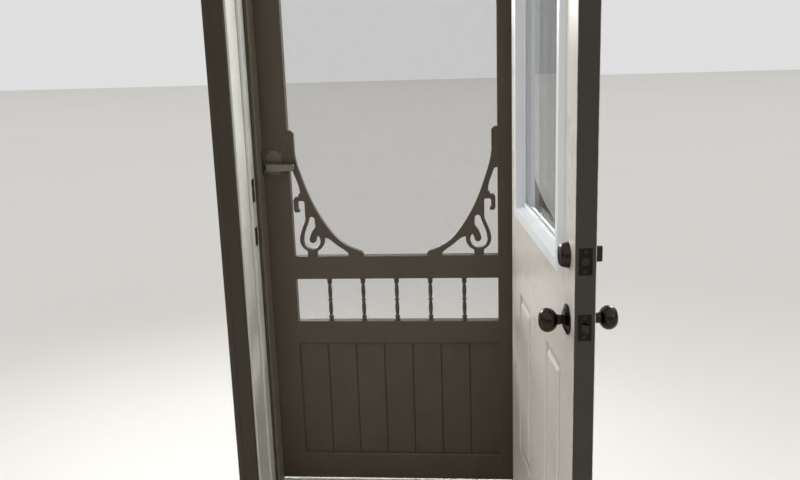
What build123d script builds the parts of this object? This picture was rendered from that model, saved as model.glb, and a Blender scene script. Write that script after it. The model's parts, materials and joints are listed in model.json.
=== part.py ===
from build123d import *
import math
import os

# Entrance doorway with two leaves in one frame: a half glazed inner door that swings into the
# room and a wooden screen door that swings out. All sizes are in millimetres.
# X runs to the hinge side, Y runs from the room to the outside and Z runs up.
# The origin is the middle of the sill's underside, halfway through the frame's depth.

# Inner door leaf, 32 by 80 inches and 1 3/4 inches thick
DOOR_W = 813.0
DOOR_H = 2032.0
DOOR_T = 44.5
DOOR_GAP = 3.0
OPEN_ANGLE = 97.0

# Frame, rabbeted for the inner door
JAMB_T = 19.0
STOP = 12.7
FRAME_DEPTH = 116.0
SEAL_GAP = 3.0
SILL_T = 30.0
SILL_FALL = 14.0
SILL_NOSE = 38.0
THRESHOLD_H = 13.0
THRESHOLD_LAP = 12.0
SWEEP_H = 9.0
FLOOR_Z = 19.0

# Deep lining on the room side of the frame, and the casing around it
LINING_DEPTH = 103.0
LINING_T = 19.0
LINING_REVEAL = 8.0
CASING_W = 57.0
CASING_T = 17.0
CASING_EDGE_T = 11.0
CASING_SEAT = 7.0
CASING_RELIEF = 1.5
CASING_REVEAL = 6.0

# Outside moulding that the screen door sits in
BRICK_W = 50.0
BRICK_T = 32.0
BRICK_LAP = 1.5

# Weatherstrip in the corner of the rabbet
SEAL_W = 10.0
SEAL_TONGUE_T = 1.6
SEAL_TONGUE_D = 8.0
SEAL_SLACK = 0.3

# Inner door build: pressed skins on a timber edge frame with a foam core
SKIN_T = 1.0
EDGE_W = 32.0
LOCK_TO_LITE = 4.5
LOCK_BLOCK_H = 360.0
PANEL_W = 176.0
PANEL_INSET = 130.0
PANEL_Z0 = 223.0
PANEL_TO_LITE = 209.0
PRESS_DEPTH = 6.0
PRESS_SLOPE = 10.0
PRESS_FLOOR = 10.0
FIELD_SLOPE = 10.0

# Glazed opening of the inner door
LITE_HEAD = 130.0
LITE_CLEAR = 3.5
LITE_H = 990.0
LITE_PROUD = 12.0
LITE_FACE_W = 40.0
LITE_LEG = 15.0
LITE_SLOPE = 8.0
PANE_T = 3.0
PANE_GAP = 10.0
GLASS_SLACK = 3.0
LEG_SLACK = 0.5
SPACER_T = 6.0

# Locks of the inner door
BACKSET = 60.0
KNOB_Z = 831.0
LOCK_PITCH = 140.0
CROSS_BORE_R = 27.0
EDGE_BORE_R = 12.7
FACEPLATE_H = 57.0
FACEPLATE_W = 28.6
FACEPLATE_T = 2.5
CASE_R = 11.5
CASE_LEN = 74.0
SCREW_HEAD_R = 4.0
SCREW_R = 2.0
SCREW_LEN = 14.0
SCREW_PITCH = 41.0
LATCH_THROW = 12.7
LATCH_W = 12.5
LATCH_H = 16.0
LATCH_LEN = 34.0
BOLT_R = 7.95
BOLT_THROW = 25.4
BOLT_LEN = 42.0
RUN_FIT = 0.08
ROSE_R = 33.0
ROSE_T = 9.0
KNOB_R = 26.0
KNOB_PROJ = 62.0
SHANK_R = 10.0
SPINDLE_W = 8.0
COLLAR_R = 28.0
COLLAR_T = 19.0
PLUG_R = 6.5
TURN_L = 34.0
TURN_W = 9.0
TURN_PROJ = 26.0
TAIL_W = 7.0
TAIL_T = 2.5

# Strikes let into the frame
STRIKE_T = 2.0
STRIKE_W = 28.0
LATCH_STRIKE_H = 57.0
BOLT_STRIKE_H = 70.0
POCKET_SLACK = 1.6

# Hinges
HINGE_COUNT = 3
KNUCKLES = 5
HINGE_H = 101.6
HINGE_LEAF_T = 2.5
HINGE_LEAF_W = 35.0
KNUCKLE_R = 6.6
PIN_R = 3.0
PIN_FIT = 0.05
PIN_OFFSET = 7.0
SCREEN_HINGE_H = 76.0
SCREEN_LEAF_T = 1.3
SCREEN_LEAF_W = 22.0
SCREEN_KNUCKLE_R = 5.0
SCREEN_PIN_R = 2.4
KNUCKLE_SLACK = 0.3
KNUCKLE_CLEAR = 0.5
HINGE_MARGIN = 178.0
SCREEN_HINGE_MARGIN = 160.0

# Screen door leaf
SCREEN_GAP = 3.0
SCREEN_T = 28.0
SCREEN_CLEAR = 0.8
SCREEN_BOTTOM_GAP = 10.5
STILE_W = 87.0
TOP_RAIL_H = 87.0
MID_RAIL_Z = 685.0
MID_RAIL_H = 73.0
LOW_RAIL_Z = 471.0
LOW_RAIL_H = 74.0
BOTTOM_RAIL_H = 88.0
TENON_L = 45.0
TENON_T = 9.0
TENON_SHOULDER = 10.0
TENON_SLACK = 0.3
EDGE_EASE = 2.5
BOARD_COUNT = 7
BOARD_T = 10.0
BOARD_V = 2.5
BOARD_HOUSING = 8.0
TONGUE_T = 3.0
TONGUE_D = 4.0
TONGUE_SLACK = 0.3
SPINDLE_COUNT = 5
SPINDLE_PIN_R = 4.0
SPINDLE_PIN_L = 9.0
SPINDLE_SETBACK = 11.0
MESH_T = 0.5
MESH_LAP = 9.0
MESH_REBATE = 5.5

# Scroll sawn brackets in the lower corners of the upper opening
BRACKET_T = 16.0
BRACKET_SETBACK = 3.0
BRACKET_W = 219.0
BRACKET_H = 396.0

# Latch of the screen door
SLATCH_Z = 1058.0
SLATCH_W = 48.0
SLATCH_H = 74.0
SLATCH_PROUD = 16.0
SLATCH_EDGE = 18.0
LEVER_L = 62.0
LEVER_H = 22.0
LEVER_T = 9.0
LEVER_DROP = 13.0
LEVER_PIN_R = 5.0
NOSE_W = 8.0
NOSE_H = 14.0
NOSE_OUT = 6.5
NOSE_LEN = 28.0
KEEPER_T = 1.5
KEEPER_RIDGE = 5.0
PULL_H = 110.0
PULL_PROJ = 38.0
PULL_R = 6.0

# Places worked out from the sizes above
JAMB_X = DOOR_W / 2 + DOOR_GAP
STOP_X = JAMB_X - STOP
FRAME_Y0 = -FRAME_DEPTH / 2
FRAME_Y1 = FRAME_DEPTH / 2
WALL_Y = FRAME_Y0 - LINING_DEPTH
DOOR_Y0 = FRAME_Y0
DOOR_Y1 = DOOR_Y0 + DOOR_T
DOOR_YM = (DOOR_Y0 + DOOR_Y1) / 2
STOP_Y = DOOR_Y1 + SEAL_GAP
DOOR_Z0 = SILL_T + THRESHOLD_H + SWEEP_H
DOOR_Z1 = DOOR_Z0 + DOOR_H
HEAD_Z = DOOR_Z1 + DOOR_GAP
PIVOT = (DOOR_W / 2 + DOOR_GAP / 2, DOOR_Y0 - PIN_OFFSET)
LOCK_X = -DOOR_W / 2 + BACKSET
LITE_SIDE = LINING_DEPTH + LITE_CLEAR
LITE_W = DOOR_W - 2 * LITE_SIDE
LITE_Z0 = DOOR_H - LITE_HEAD - LITE_H
PANEL_H = LITE_Z0 - PANEL_TO_LITE - PANEL_Z0
LOCK_BLOCK_W = LITE_SIDE - EDGE_W - LOCK_TO_LITE
LATCH_Z = DOOR_Z0 + KNOB_Z
BOLT_Z = LATCH_Z + LOCK_PITCH

BRICK_X = JAMB_X - BRICK_LAP
BRICK_Z = HEAD_Z - BRICK_LAP
SCREEN_W = 2 * (BRICK_X - SCREEN_GAP)
SCREEN_Y0 = FRAME_Y1 + SCREEN_CLEAR
SCREEN_Y1 = SCREEN_Y0 + SCREEN_T
SCREEN_YM = (SCREEN_Y0 + SCREEN_Y1) / 2
SCREEN_Z1 = BRICK_Z - SCREEN_GAP
SILL_Y1 = FRAME_Y1 + BRICK_T + SILL_NOSE
SILL_FLAT_Y = STOP_Y + THRESHOLD_LAP
OPENING_X = SCREEN_W / 2 - STILE_W
SCREEN_PIVOT = (SCREEN_W / 2 + SCREEN_GAP / 2, FRAME_Y1 + BRICK_T + SCREEN_KNUCKLE_R + KNUCKLE_CLEAR)


def sill_top(y):
    """Height of the sill's weathered top at a place across its depth."""
    fall = (y - SILL_FLAT_Y) / (SILL_Y1 - SILL_FLAT_Y)
    return SILL_T - SILL_FALL * max(0.0, fall)


SCREEN_Z0 = sill_top(SCREEN_Y0) + SCREEN_BOTTOM_GAP
MID_Z0 = SCREEN_Z0 + MID_RAIL_Z
MID_Z1 = MID_Z0 + MID_RAIL_H
LOW_Z0 = SCREEN_Z0 + LOW_RAIL_Z
LOW_Z1 = LOW_Z0 + LOW_RAIL_H
BOTTOM_Z1 = SCREEN_Z0 + BOTTOM_RAIL_H
TOP_Z0 = SCREEN_Z1 - TOP_RAIL_H
SLATCH_ZM = SCREEN_Z0 + SLATCH_Z
SLATCH_X0 = -SCREEN_W / 2 + SLATCH_EDGE
SLATCH_X1 = SLATCH_X0 + SLATCH_W
LEVER_X = SLATCH_X0 + SLATCH_W / 3
LEVER_Z = SLATCH_ZM - LEVER_DROP
NOSE_Y = SCREEN_Y0 - SLATCH_PROUD / 2


def block(x0, x1, y0, y1, z0, z1):
    """Box between two corners."""
    size = (abs(x1 - x0), abs(y1 - y0), abs(z1 - z0))
    return Pos((x0 + x1) / 2, (y0 + y1) / 2, (z0 + z1) / 2) * Box(*size)


def prism_x(points, x0, x1):
    """Prism along X of an outline given as (y, z) points."""
    outline = make_face(Polyline([(x0, y, z) for y, z in points], close=True))
    return extrude(outline, amount=x1 - x0, dir=(1, 0, 0))


def prism_y(points, y0, y1):
    """Prism along Y of an outline given as (x, z) points."""
    outline = make_face(Polyline([(x, y0, z) for x, z in points], close=True))
    return extrude(outline, amount=y1 - y0, dir=(0, 1, 0))


def prism_z(points, z0, z1):
    """Prism along Z of an outline given as (x, y) points."""
    outline = make_face(Polyline([(x, y, z0) for x, y in points], close=True))
    return extrude(outline, amount=z1 - z0, dir=(0, 0, 1))


def rod_x(y, z, radius, x0, x1):
    """Round bar along X."""
    return Pos((x0 + x1) / 2, y, z) * Rot(0, 90, 0) * Cylinder(radius, abs(x1 - x0))


def rod_y(x, z, radius, y0, y1):
    """Round bar along Y."""
    return Pos(x, (y0 + y1) / 2, z) * Rot(90, 0, 0) * Cylinder(radius, abs(y1 - y0))


def rod_z(x, y, radius, z0, z1):
    """Round bar along Z."""
    return Pos(x, y, (z0 + z1) / 2) * Cylinder(radius, abs(z1 - z0))


def facing(solid, x, y, z, outward):
    """Place a shape turned about its own Z on a door face, with Z pointing out of the face."""
    return Pos(x, y, z) * Rot(-90 * outward, 0, 0) * solid


def frustum(x0, x1, z0, z1, y, depth, inset):
    """Block with sloping sides from a rectangle at y to one that is smaller by inset on each side."""
    near = make_face(Polyline([(x0, y, z0), (x1, y, z0), (x1, y, z1), (x0, y, z1)], close=True))
    a, b, c, d = x0 + inset, x1 - inset, z0 + inset, z1 - inset
    far_y = y + depth
    far = make_face(Polyline([(a, far_y, c), (b, far_y, c), (b, far_y, d), (a, far_y, d)], close=True))
    return loft([near, far])


def group(solids):
    """Several separate solids of one node."""
    return Compound(children=[part for solid in solids for part in solid.solids()])


def ringed(x0, x1, z0, z1, y0, y1, width):
    """Rectangular ring between two planes."""
    hole = block(x0 + width, x1 - width, y0 - 1, y1 + 1, z0 + width, z1 - width)
    return block(x0, x1, y0, y1, z0, z1) - hole


# Frame


def side_jamb(side):
    """Rabbeted jamb with its stop and the kerf for the weatherstrip."""
    base = block(side * JAMB_X, side * (JAMB_X + JAMB_T), FRAME_Y0, FRAME_Y1, 0, HEAD_Z + JAMB_T)
    stop = block(side * STOP_X, side * JAMB_X, STOP_Y, FRAME_Y1, 0, HEAD_Z)
    kerf = seal_tongue(side, 0, HEAD_Z)
    return base + stop - kerf


def strike_jamb():
    """Jamb on the lock side, with the strikes let in and the pockets behind them."""
    jamb = side_jamb(-1)
    for z, height in ((LATCH_Z, LATCH_STRIKE_H), (BOLT_Z, BOLT_STRIKE_H)):
        jamb -= strike_blank(z, height)
    jamb -= latch_pocket(JAMB_X + LATCH_THROW)
    jamb -= rod_x(DOOR_YM, BOLT_Z, BOLT_R + POCKET_SLACK, -JAMB_X - BOLT_THROW, -JAMB_X + 1)
    return jamb - strike_screws()


def hinge_jamb():
    """Jamb on the hinge side, with a mortise for each hinge leaf."""
    jamb = side_jamb(1)
    for z in hinge_heights():
        jamb -= block(JAMB_X, JAMB_X + HINGE_LEAF_T, DOOR_Y0, hinge_leaf_y(), z, z + HINGE_H)
    return jamb


def head_jamb():
    """Head of the frame, between the jambs, with its own stop."""
    base = block(-JAMB_X, JAMB_X, FRAME_Y0, FRAME_Y1, HEAD_Z, HEAD_Z + JAMB_T)
    stop = block(-STOP_X, STOP_X, STOP_Y, FRAME_Y1, HEAD_Z - STOP, HEAD_Z)
    kerf_z = HEAD_Z - seal_tongue_offset()
    kerf = block(-STOP_X, STOP_X, STOP_Y, STOP_Y + SEAL_TONGUE_D, kerf_z, kerf_z - SEAL_TONGUE_T)
    return base + stop - kerf


def sill_solid(x_half):
    """Sill profile with a weathered top, over a given half width."""
    points = [
        (FRAME_Y0, 0), (SILL_Y1, 0), (SILL_Y1, sill_top(SILL_Y1)),
        (SILL_FLAT_Y, SILL_T), (FRAME_Y0, SILL_T),
    ]
    return prism_x(points, -x_half, x_half)


def sill():
    """Sill between the jambs, with horns under the outside moulding."""
    horn_x = BRICK_X + BRICK_W
    body = sill_solid(horn_x)
    for side in (-1, 1):
        body -= block(side * JAMB_X, side * horn_x * 2, FRAME_Y0 - 1, FRAME_Y1, -1, SILL_T + 1)
        body -= block(side * STOP_X, side * horn_x * 2, STOP_Y, FRAME_Y1, -1, SILL_T + 1)
    return body


def threshold():
    """Raised saddle under the inner door, notched around the stops."""
    y0, y1 = FRAME_Y0 + 1, SILL_FLAT_Y
    top = SILL_T + THRESHOLD_H
    ramp = THRESHOLD_H - 4.0
    points = [
        (y0, SILL_T), (y1, SILL_T), (y1, SILL_T + 4), (y1 - ramp, top), (y0 + ramp, top), (y0, SILL_T + 4),
    ]
    body = prism_x(points, -JAMB_X, JAMB_X)
    for side in (-1, 1):
        body -= block(side * STOP_X, side * JAMB_X * 2, STOP_Y, FRAME_Y1, 0, top + 1)
        body -= block(side * (STOP_X - 1), side * JAMB_X * 2, DOOR_Y1, STOP_Y, 0, top + 1)
    return body


def lining_side(side):
    """Deep lining board beside the opening, set back from the frame by a reveal."""
    x0 = JAMB_X + LINING_REVEAL
    top = HEAD_Z + LINING_REVEAL + LINING_T
    return block(side * x0, side * (x0 + LINING_T), WALL_Y, FRAME_Y0, FLOOR_Z, top)


def lining_head():
    """Deep lining board over the opening."""
    x0 = JAMB_X + LINING_REVEAL
    z0 = HEAD_Z + LINING_REVEAL
    return block(-x0, x0, WALL_Y, FRAME_Y0, z0, z0 + LINING_T)


def casing_outline():
    """Casing section as (w, t): w from its inner edge, t from the wall. Its back is hollowed."""
    bead = 5.0
    on_wall = LINING_T - CASING_REVEAL + CASING_SEAT
    return [
        (0, 0), (CASING_SEAT, 0), (CASING_SEAT + 1, CASING_RELIEF), (on_wall - 1, CASING_RELIEF),
        (on_wall, 0), (CASING_W, 0), (CASING_W, CASING_T - 2), (CASING_W - 2, CASING_T),
        (CASING_W - 3 * bead, CASING_T), (CASING_W - 4 * bead, CASING_T - 2.5),
        (2 * bead, CASING_EDGE_T), (bead, CASING_EDGE_T + 1.5), (1, CASING_EDGE_T), (0, CASING_EDGE_T - 1),
    ]


def brick_outline():
    """Outside moulding section as (w, t): w from its inner edge, t from the frame."""
    flat = BRICK_W / 2
    step = 4.0
    return [
        (0, 0), (BRICK_W, 0), (BRICK_W, BRICK_T / 2), (BRICK_W - step, BRICK_T / 2 + step),
        (BRICK_W - 2 * step, BRICK_T - 3 * step), (flat + step, BRICK_T - step), (flat, BRICK_T - step),
        (flat, BRICK_T), (1, BRICK_T), (0, BRICK_T - 1),
    ]


def mitred_leg(outline, side, inner, top, bottom, y, out):
    """Upright of a mitred surround: the section runs up and ends at 45 degrees."""
    width = max(w for w, t in outline)
    section = [(side * (inner + w), y + out * t) for w, t in outline]
    keep = [(inner, bottom), (inner + width, bottom), (inner + width, top + width), (inner, top)]
    depth = 2 * max(t for w, t in outline)
    leg = prism_z(section, bottom, top + width)
    return leg & prism_y([(side * x, z) for x, z in keep], y - depth, y + depth)


def mitred_head(outline, inner, top, y, out):
    """Head of a mitred surround."""
    width = max(w for w, t in outline)
    section = [(y + out * t, top + w) for w, t in outline]
    keep = [(-inner, top), (inner, top), (inner + width, top + width), (-inner - width, top + width)]
    depth = 2 * max(t for w, t in outline)
    head = prism_x(section, -inner - width, inner + width)
    return head & prism_y(keep, y - depth, y + depth)


def casing_leg(side):
    inner = JAMB_X + LINING_REVEAL + CASING_REVEAL
    top = HEAD_Z + LINING_REVEAL + CASING_REVEAL
    return mitred_leg(casing_outline(), side, inner, top, FLOOR_Z, WALL_Y, -1)


def casing_head():
    inner = JAMB_X + LINING_REVEAL + CASING_REVEAL
    top = HEAD_Z + LINING_REVEAL + CASING_REVEAL
    return mitred_head(casing_outline(), inner, top, WALL_Y, -1)


def brick_leg(side):
    """Outside moulding upright, scribed to the sill's weathered top."""
    leg = mitred_leg(brick_outline(), side, BRICK_X, BRICK_Z, 0, FRAME_Y1, 1)
    return leg - sill_solid(2 * BRICK_X)


def brick_head():
    return mitred_head(brick_outline(), BRICK_X, BRICK_Z, FRAME_Y1, 1)


def seal_tongue_offset():
    """Distance of the weatherstrip's tongue from the rabbet corner."""
    return SEAL_W / 2


def seal_tongue(side, z0, z1):
    """Tongue of the weatherstrip, and the kerf that holds it."""
    x0 = JAMB_X - seal_tongue_offset()
    return block(side * x0, side * (x0 - SEAL_TONGUE_T), STOP_Y, STOP_Y + SEAL_TONGUE_D, z0, z1)


def weatherstrip():
    """Three lengths of foam strip, up both jambs and along the head."""
    y0 = STOP_Y - SEAL_GAP + SEAL_SLACK
    strips = []
    for side in (-1, 1):
        x0, x1 = side * (JAMB_X - SEAL_SLACK), side * (JAMB_X - SEAL_W)
        pad = block(x0, x1, y0, STOP_Y, SILL_T + THRESHOLD_H, HEAD_Z - SEAL_SLACK)
        strips.append(pad + seal_tongue(side, SILL_T + THRESHOLD_H, HEAD_Z - SEAL_SLACK))
    x1 = JAMB_X - SEAL_W
    z0 = HEAD_Z - SEAL_SLACK
    pad = block(-x1, x1, y0, STOP_Y, HEAD_Z - SEAL_W, z0)
    kerf_z = HEAD_Z - seal_tongue_offset()
    tongue = block(-STOP_X, STOP_X, STOP_Y, STOP_Y + SEAL_TONGUE_D, kerf_z - SEAL_TONGUE_T, kerf_z)
    strips.append(pad + tongue)
    return group(strips)


# Strikes


def strike_blank(z, height):
    """Outline of a strike plate let in flush with the jamb face."""
    y0, y1 = DOOR_YM - STRIKE_W / 2, DOOR_YM + STRIKE_W / 2
    return block(-JAMB_X - STRIKE_T, -JAMB_X, y0, y1, z - height / 2, z + height / 2)


def latch_pocket(reach):
    """Room for the latch bolt behind its strike."""
    y = LATCH_W / 2 + POCKET_SLACK
    z = LATCH_H / 2 + POCKET_SLACK
    return block(-reach, -JAMB_X + 1, DOOR_YM - y, DOOR_YM + y, LATCH_Z - z, LATCH_Z + z)


def strike_screws():
    """Countersunk screws of both strikes."""
    screws = []
    for z, pitch in strike_screw_rows():
        for sign in (-1, 1):
            screws.append(edge_screw(-JAMB_X, z + sign * pitch / 2, -1))
    return group(screws)


def strike_screw_rows():
    """Height and screw spacing of each strike."""
    return ((LATCH_Z, SCREW_PITCH), (BOLT_Z, BOLT_STRIKE_H - FACEPLATE_H + SCREW_PITCH))


def edge_screw(x, z, into):
    """Screw driven along X into an edge, with a flat countersunk head flush at x."""
    head_l = SCREW_HEAD_R - SCREW_R
    profile = [
        (0, 0), (SCREW_HEAD_R, 0), (SCREW_R, -head_l), (SCREW_R, -SCREW_LEN), (0, -SCREW_LEN - SCREW_R),
    ]
    outline = make_face(Polyline([(r, 0, t) for r, t in profile], close=True))
    screw = revolve(outline, Axis.Z)
    return Pos(x, DOOR_YM, z) * Rot(0, -90 * into, 0) * screw


def latch_strike():
    plate = strike_blank(LATCH_Z, LATCH_STRIKE_H) - latch_pocket(JAMB_X + STRIKE_T + 1)
    return plate - strike_screws()


def deadbolt_strike():
    plate = strike_blank(BOLT_Z, BOLT_STRIKE_H)
    hole = rod_x(DOOR_YM, BOLT_Z, BOLT_R + POCKET_SLACK, -JAMB_X - STRIKE_T - 1, -JAMB_X + 1)
    return plate - hole - strike_screws()


# Hinges


def hinge_heights():
    """Bottom of each hinge of the inner door."""
    span = DOOR_H - 2 * HINGE_MARGIN - HINGE_H
    return [DOOR_Z0 + HINGE_MARGIN + span * i / (HINGE_COUNT - 1) for i in range(HINGE_COUNT)]


def screen_hinge_heights():
    """Bottom of each hinge of the screen door."""
    first = SCREEN_Z0 + SCREEN_HINGE_MARGIN
    span = SCREEN_Z1 - SCREEN_HINGE_MARGIN - SCREEN_HINGE_H - first
    return [first + span * i / (HINGE_COUNT - 1) for i in range(HINGE_COUNT)]


def hinge_leaf_y():
    return DOOR_Y0 + HINGE_LEAF_W


def hinge_leaf(pivot, plate_x, plate_y, z0, height, radius, pin_r, odd):
    """Leaf with every second knuckle around the pin. plate_x and plate_y span the flat plate."""
    x, y = pivot
    pitch = height / KNUCKLES
    slack = KNUCKLE_SLACK / 2
    leaf = block(plate_x[0], plate_x[1], y, plate_y, z0, z0 + height)
    for i in range(KNUCKLES):
        low, high = z0 + i * pitch, z0 + (i + 1) * pitch
        if (i % 2 == 0) == odd:
            leaf += rod_z(x, y, radius, low + slack, high - slack)
        else:
            leaf -= rod_z(x, y, radius + KNUCKLE_SLACK, low - slack, high + slack)
    return leaf - rod_z(x, y, pin_r + PIN_FIT, z0 - 1, z0 + height + 1)


def hinge_pin(pivot, z0, height, radius, pin_r):
    """Loose pin with a button head and a ball tip."""
    x, y = pivot
    button = 2.5
    head = rod_z(x, y, radius - 1, z0 + height, z0 + height + button)
    return head + rod_z(x, y, pin_r, z0 - button, z0 + height + 1)


def frame_hinge_leaves():
    plate_x = (JAMB_X, JAMB_X + HINGE_LEAF_T)
    return group([
        hinge_leaf(PIVOT, plate_x, hinge_leaf_y(), z, HINGE_H, KNUCKLE_R, PIN_R, True)
        for z in hinge_heights()
    ])


def door_hinge_leaves():
    plate_x = (DOOR_W / 2 - HINGE_LEAF_T, DOOR_W / 2)
    return group([
        hinge_leaf(PIVOT, plate_x, hinge_leaf_y(), z, HINGE_H, KNUCKLE_R, PIN_R, False)
        for z in hinge_heights()
    ])


def screen_frame_leaves():
    plate_x = (BRICK_X - SCREEN_LEAF_T, BRICK_X)
    y = SCREEN_Y1 - SCREEN_LEAF_W
    return group([
        hinge_leaf(SCREEN_PIVOT, plate_x, y, z, SCREEN_HINGE_H, SCREEN_KNUCKLE_R, SCREEN_PIN_R, True)
        for z in screen_hinge_heights()
    ])


def screen_door_leaves():
    plate_x = (SCREEN_W / 2, SCREEN_W / 2 + SCREEN_LEAF_T)
    y = SCREEN_Y1 - SCREEN_LEAF_W
    return group([
        hinge_leaf(SCREEN_PIVOT, plate_x, y, z, SCREEN_HINGE_H, SCREEN_KNUCKLE_R, SCREEN_PIN_R, False)
        for z in screen_hinge_heights()
    ])


def hinge_pins():
    pins = [hinge_pin(PIVOT, z, HINGE_H, KNUCKLE_R, PIN_R) for z in hinge_heights()]
    pins += [
        hinge_pin(SCREEN_PIVOT, z, SCREEN_HINGE_H, SCREEN_KNUCKLE_R, SCREEN_PIN_R)
        for z in screen_hinge_heights()
    ]
    return group(pins)


# Inner door, modelled shut and then swung open about its hinge pins


def swing_open(shape):
    """Turn a piece of the inner door from shut to the open position."""
    return shape.rotate(Axis((PIVOT[0], PIVOT[1], 0), (0, 0, 1)), OPEN_ANGLE)


def panel_spans():
    """Left and right edge of each pressed panel."""
    left = -DOOR_W / 2 + PANEL_INSET
    right = DOOR_W / 2 - PANEL_INSET
    return ((left, left + PANEL_W), (right - PANEL_W, right))


def pressed_ring(x0, x1, y, into, grow):
    """Sunk channel around a raised field. grow widens it to the back of the pressed skin."""
    z0 = DOOR_Z0 + PANEL_Z0
    z1 = z0 + PANEL_H
    depth = into * (PRESS_DEPTH + grow)
    trough = frustum(x0 - grow, x1 + grow, z0 - grow, z1 + grow, y, depth, PRESS_SLOPE)
    inner = PRESS_SLOPE + PRESS_FLOOR + grow
    base = inner + FIELD_SLOPE
    far = frustum(x0 + base, x1 - base, z0 + base, z1 - base, y, depth, -FIELD_SLOPE)
    return trough - far


def press_marks(y, into, grow):
    """Both pressed channels of a skin."""
    marks = [pressed_ring(x0, x1, y, into, grow) for x0, x1 in panel_spans()]
    return marks[0] + marks[1]


def lite_cutout(y0, y1):
    """Hole through the leaf for the glazed frame."""
    half = LITE_W / 2 - LITE_FACE_W + LITE_LEG
    z0 = DOOR_Z0 + LITE_Z0 + LITE_FACE_W - LITE_LEG
    z1 = DOOR_Z0 + LITE_Z0 + LITE_H - LITE_FACE_W + LITE_LEG
    return block(-half, half, y0, y1, z0, z1)


def cross_bores():
    """Both round holes through the leaf for the locks."""
    return rod_y(LOCK_X, LATCH_Z, CROSS_BORE_R, DOOR_Y0 - 1, DOOR_Y1 + 1) + rod_y(
        LOCK_X, BOLT_Z, CROSS_BORE_R, DOOR_Y0 - 1, DOOR_Y1 + 1
    )


def skin(y0, y1, face_y, into):
    """Pressed sheet over one side of the leaf."""
    sheet = block(-DOOR_W / 2, DOOR_W / 2, y0, y1, DOOR_Z0, DOOR_Z1)
    sheet += press_marks(face_y, into, SKIN_T)
    sheet -= press_marks(face_y, into, 0)
    return sheet - lite_cutout(y0 - 1, y1 + 1) - cross_bores()


def exterior_skin():
    return skin(DOOR_Y1 - SKIN_T, DOOR_Y1, DOOR_Y1, -1)


def interior_skin():
    sheet = skin(DOOR_Y0, DOOR_Y0 + SKIN_T, DOOR_Y0, 1)
    return sheet - door_leaf_mortises()


def leaf_core_block(x0, x1, z0, z1):
    """Part of the leaf between its skins."""
    return block(x0, x1, DOOR_Y0 + SKIN_T, DOOR_Y1 - SKIN_T, z0, z1)


def lock_bores():
    """Edge bores, faceplate recesses and cross bores of the two locks."""
    cuts = cross_bores()
    edge = -DOOR_W / 2
    for z in (LATCH_Z, BOLT_Z):
        cuts += rod_x(DOOR_YM, z, EDGE_BORE_R, edge - 1, LOCK_X)
        cuts += faceplate_blank(z)
    return cuts


def lock_stile():
    body = leaf_core_block(-DOOR_W / 2, -DOOR_W / 2 + EDGE_W, DOOR_Z0, DOOR_Z1)
    return body - lock_bores() - faceplate_screws_shape()


def door_leaf_mortises():
    """Shallow mortises in the leaf's edge for its hinge leaves."""
    x0, x1 = DOOR_W / 2 - HINGE_LEAF_T, DOOR_W / 2 + 1
    return [block(x0, x1, DOOR_Y0 - 1, hinge_leaf_y(), z, z + HINGE_H) for z in hinge_heights()]


def hinge_stile():
    body = leaf_core_block(DOOR_W / 2 - EDGE_W, DOOR_W / 2, DOOR_Z0, DOOR_Z1)
    return body - door_leaf_mortises()


def edge_rails():
    """Timber rails at the foot and the head of the leaf."""
    x = DOOR_W / 2 - EDGE_W
    return group([
        leaf_core_block(-x, x, DOOR_Z0, DOOR_Z0 + EDGE_W),
        leaf_core_block(-x, x, DOOR_Z1 - EDGE_W, DOOR_Z1),
    ])


def lock_block_blank():
    x0 = -DOOR_W / 2 + EDGE_W
    middle = (LATCH_Z + BOLT_Z) / 2
    return leaf_core_block(x0, x0 + LOCK_BLOCK_W, middle - LOCK_BLOCK_H / 2, middle + LOCK_BLOCK_H / 2)


def lock_block():
    """Timber block that the locks are bored through."""
    return lock_block_blank() - lock_bores() - lite_cutout(DOOR_Y0, DOOR_Y1)


def foam_core():
    """Foam that fills the leaf between its skins, rails and stiles."""
    x = DOOR_W / 2 - EDGE_W
    body = leaf_core_block(-x, x, DOOR_Z0 + EDGE_W, DOOR_Z1 - EDGE_W)
    body -= lite_cutout(DOOR_Y0, DOOR_Y1)
    body -= lock_block_blank()
    body -= press_marks(DOOR_Y1, -1, SKIN_T)
    return body - press_marks(DOOR_Y0, 1, SKIN_T)


def lite_frame(face_y, out):
    """Moulded frame on one face of the leaf, with a leg that clamps the glass."""
    x0, x1 = -LITE_W / 2, LITE_W / 2
    z0 = DOOR_Z0 + LITE_Z0
    z1 = z0 + LITE_H
    face = frustum(x0, x1, z0, z1, face_y, out * LITE_PROUD, LITE_SLOPE)
    leg_w = LITE_FACE_W - LITE_LEG + LEG_SLACK
    glass_y = DOOR_YM + out * (PANE_GAP / 2 + PANE_T)
    leg = block(x0 + leg_w, x1 - leg_w, glass_y, face_y, z0 + leg_w, z1 - leg_w)
    depth = face_y + out * LITE_PROUD - glass_y
    sight = LITE_FACE_W
    hole = frustum(x0 + sight, x1 - sight, z0 + sight, z1 - sight, glass_y, depth, -LITE_SLOPE)
    return face + leg - hole


def glass_span(inset):
    """Rectangle of the sealed glass unit, smaller by inset."""
    half = LITE_W / 2 - LITE_FACE_W + LITE_LEG - GLASS_SLACK - inset
    z0 = DOOR_Z0 + LITE_Z0 + LITE_FACE_W - LITE_LEG + GLASS_SLACK + inset
    z1 = DOOR_Z0 + LITE_Z0 + LITE_H - LITE_FACE_W + LITE_LEG - GLASS_SLACK - inset
    return -half, half, z0, z1


def glass_panes():
    """Both panes of the sealed unit."""
    x0, x1, z0, z1 = glass_span(0)
    gap = PANE_GAP / 2
    return group([
        block(x0, x1, DOOR_YM - gap - PANE_T, DOOR_YM - gap, z0, z1),
        block(x0, x1, DOOR_YM + gap, DOOR_YM + gap + PANE_T, z0, z1),
    ])


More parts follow.
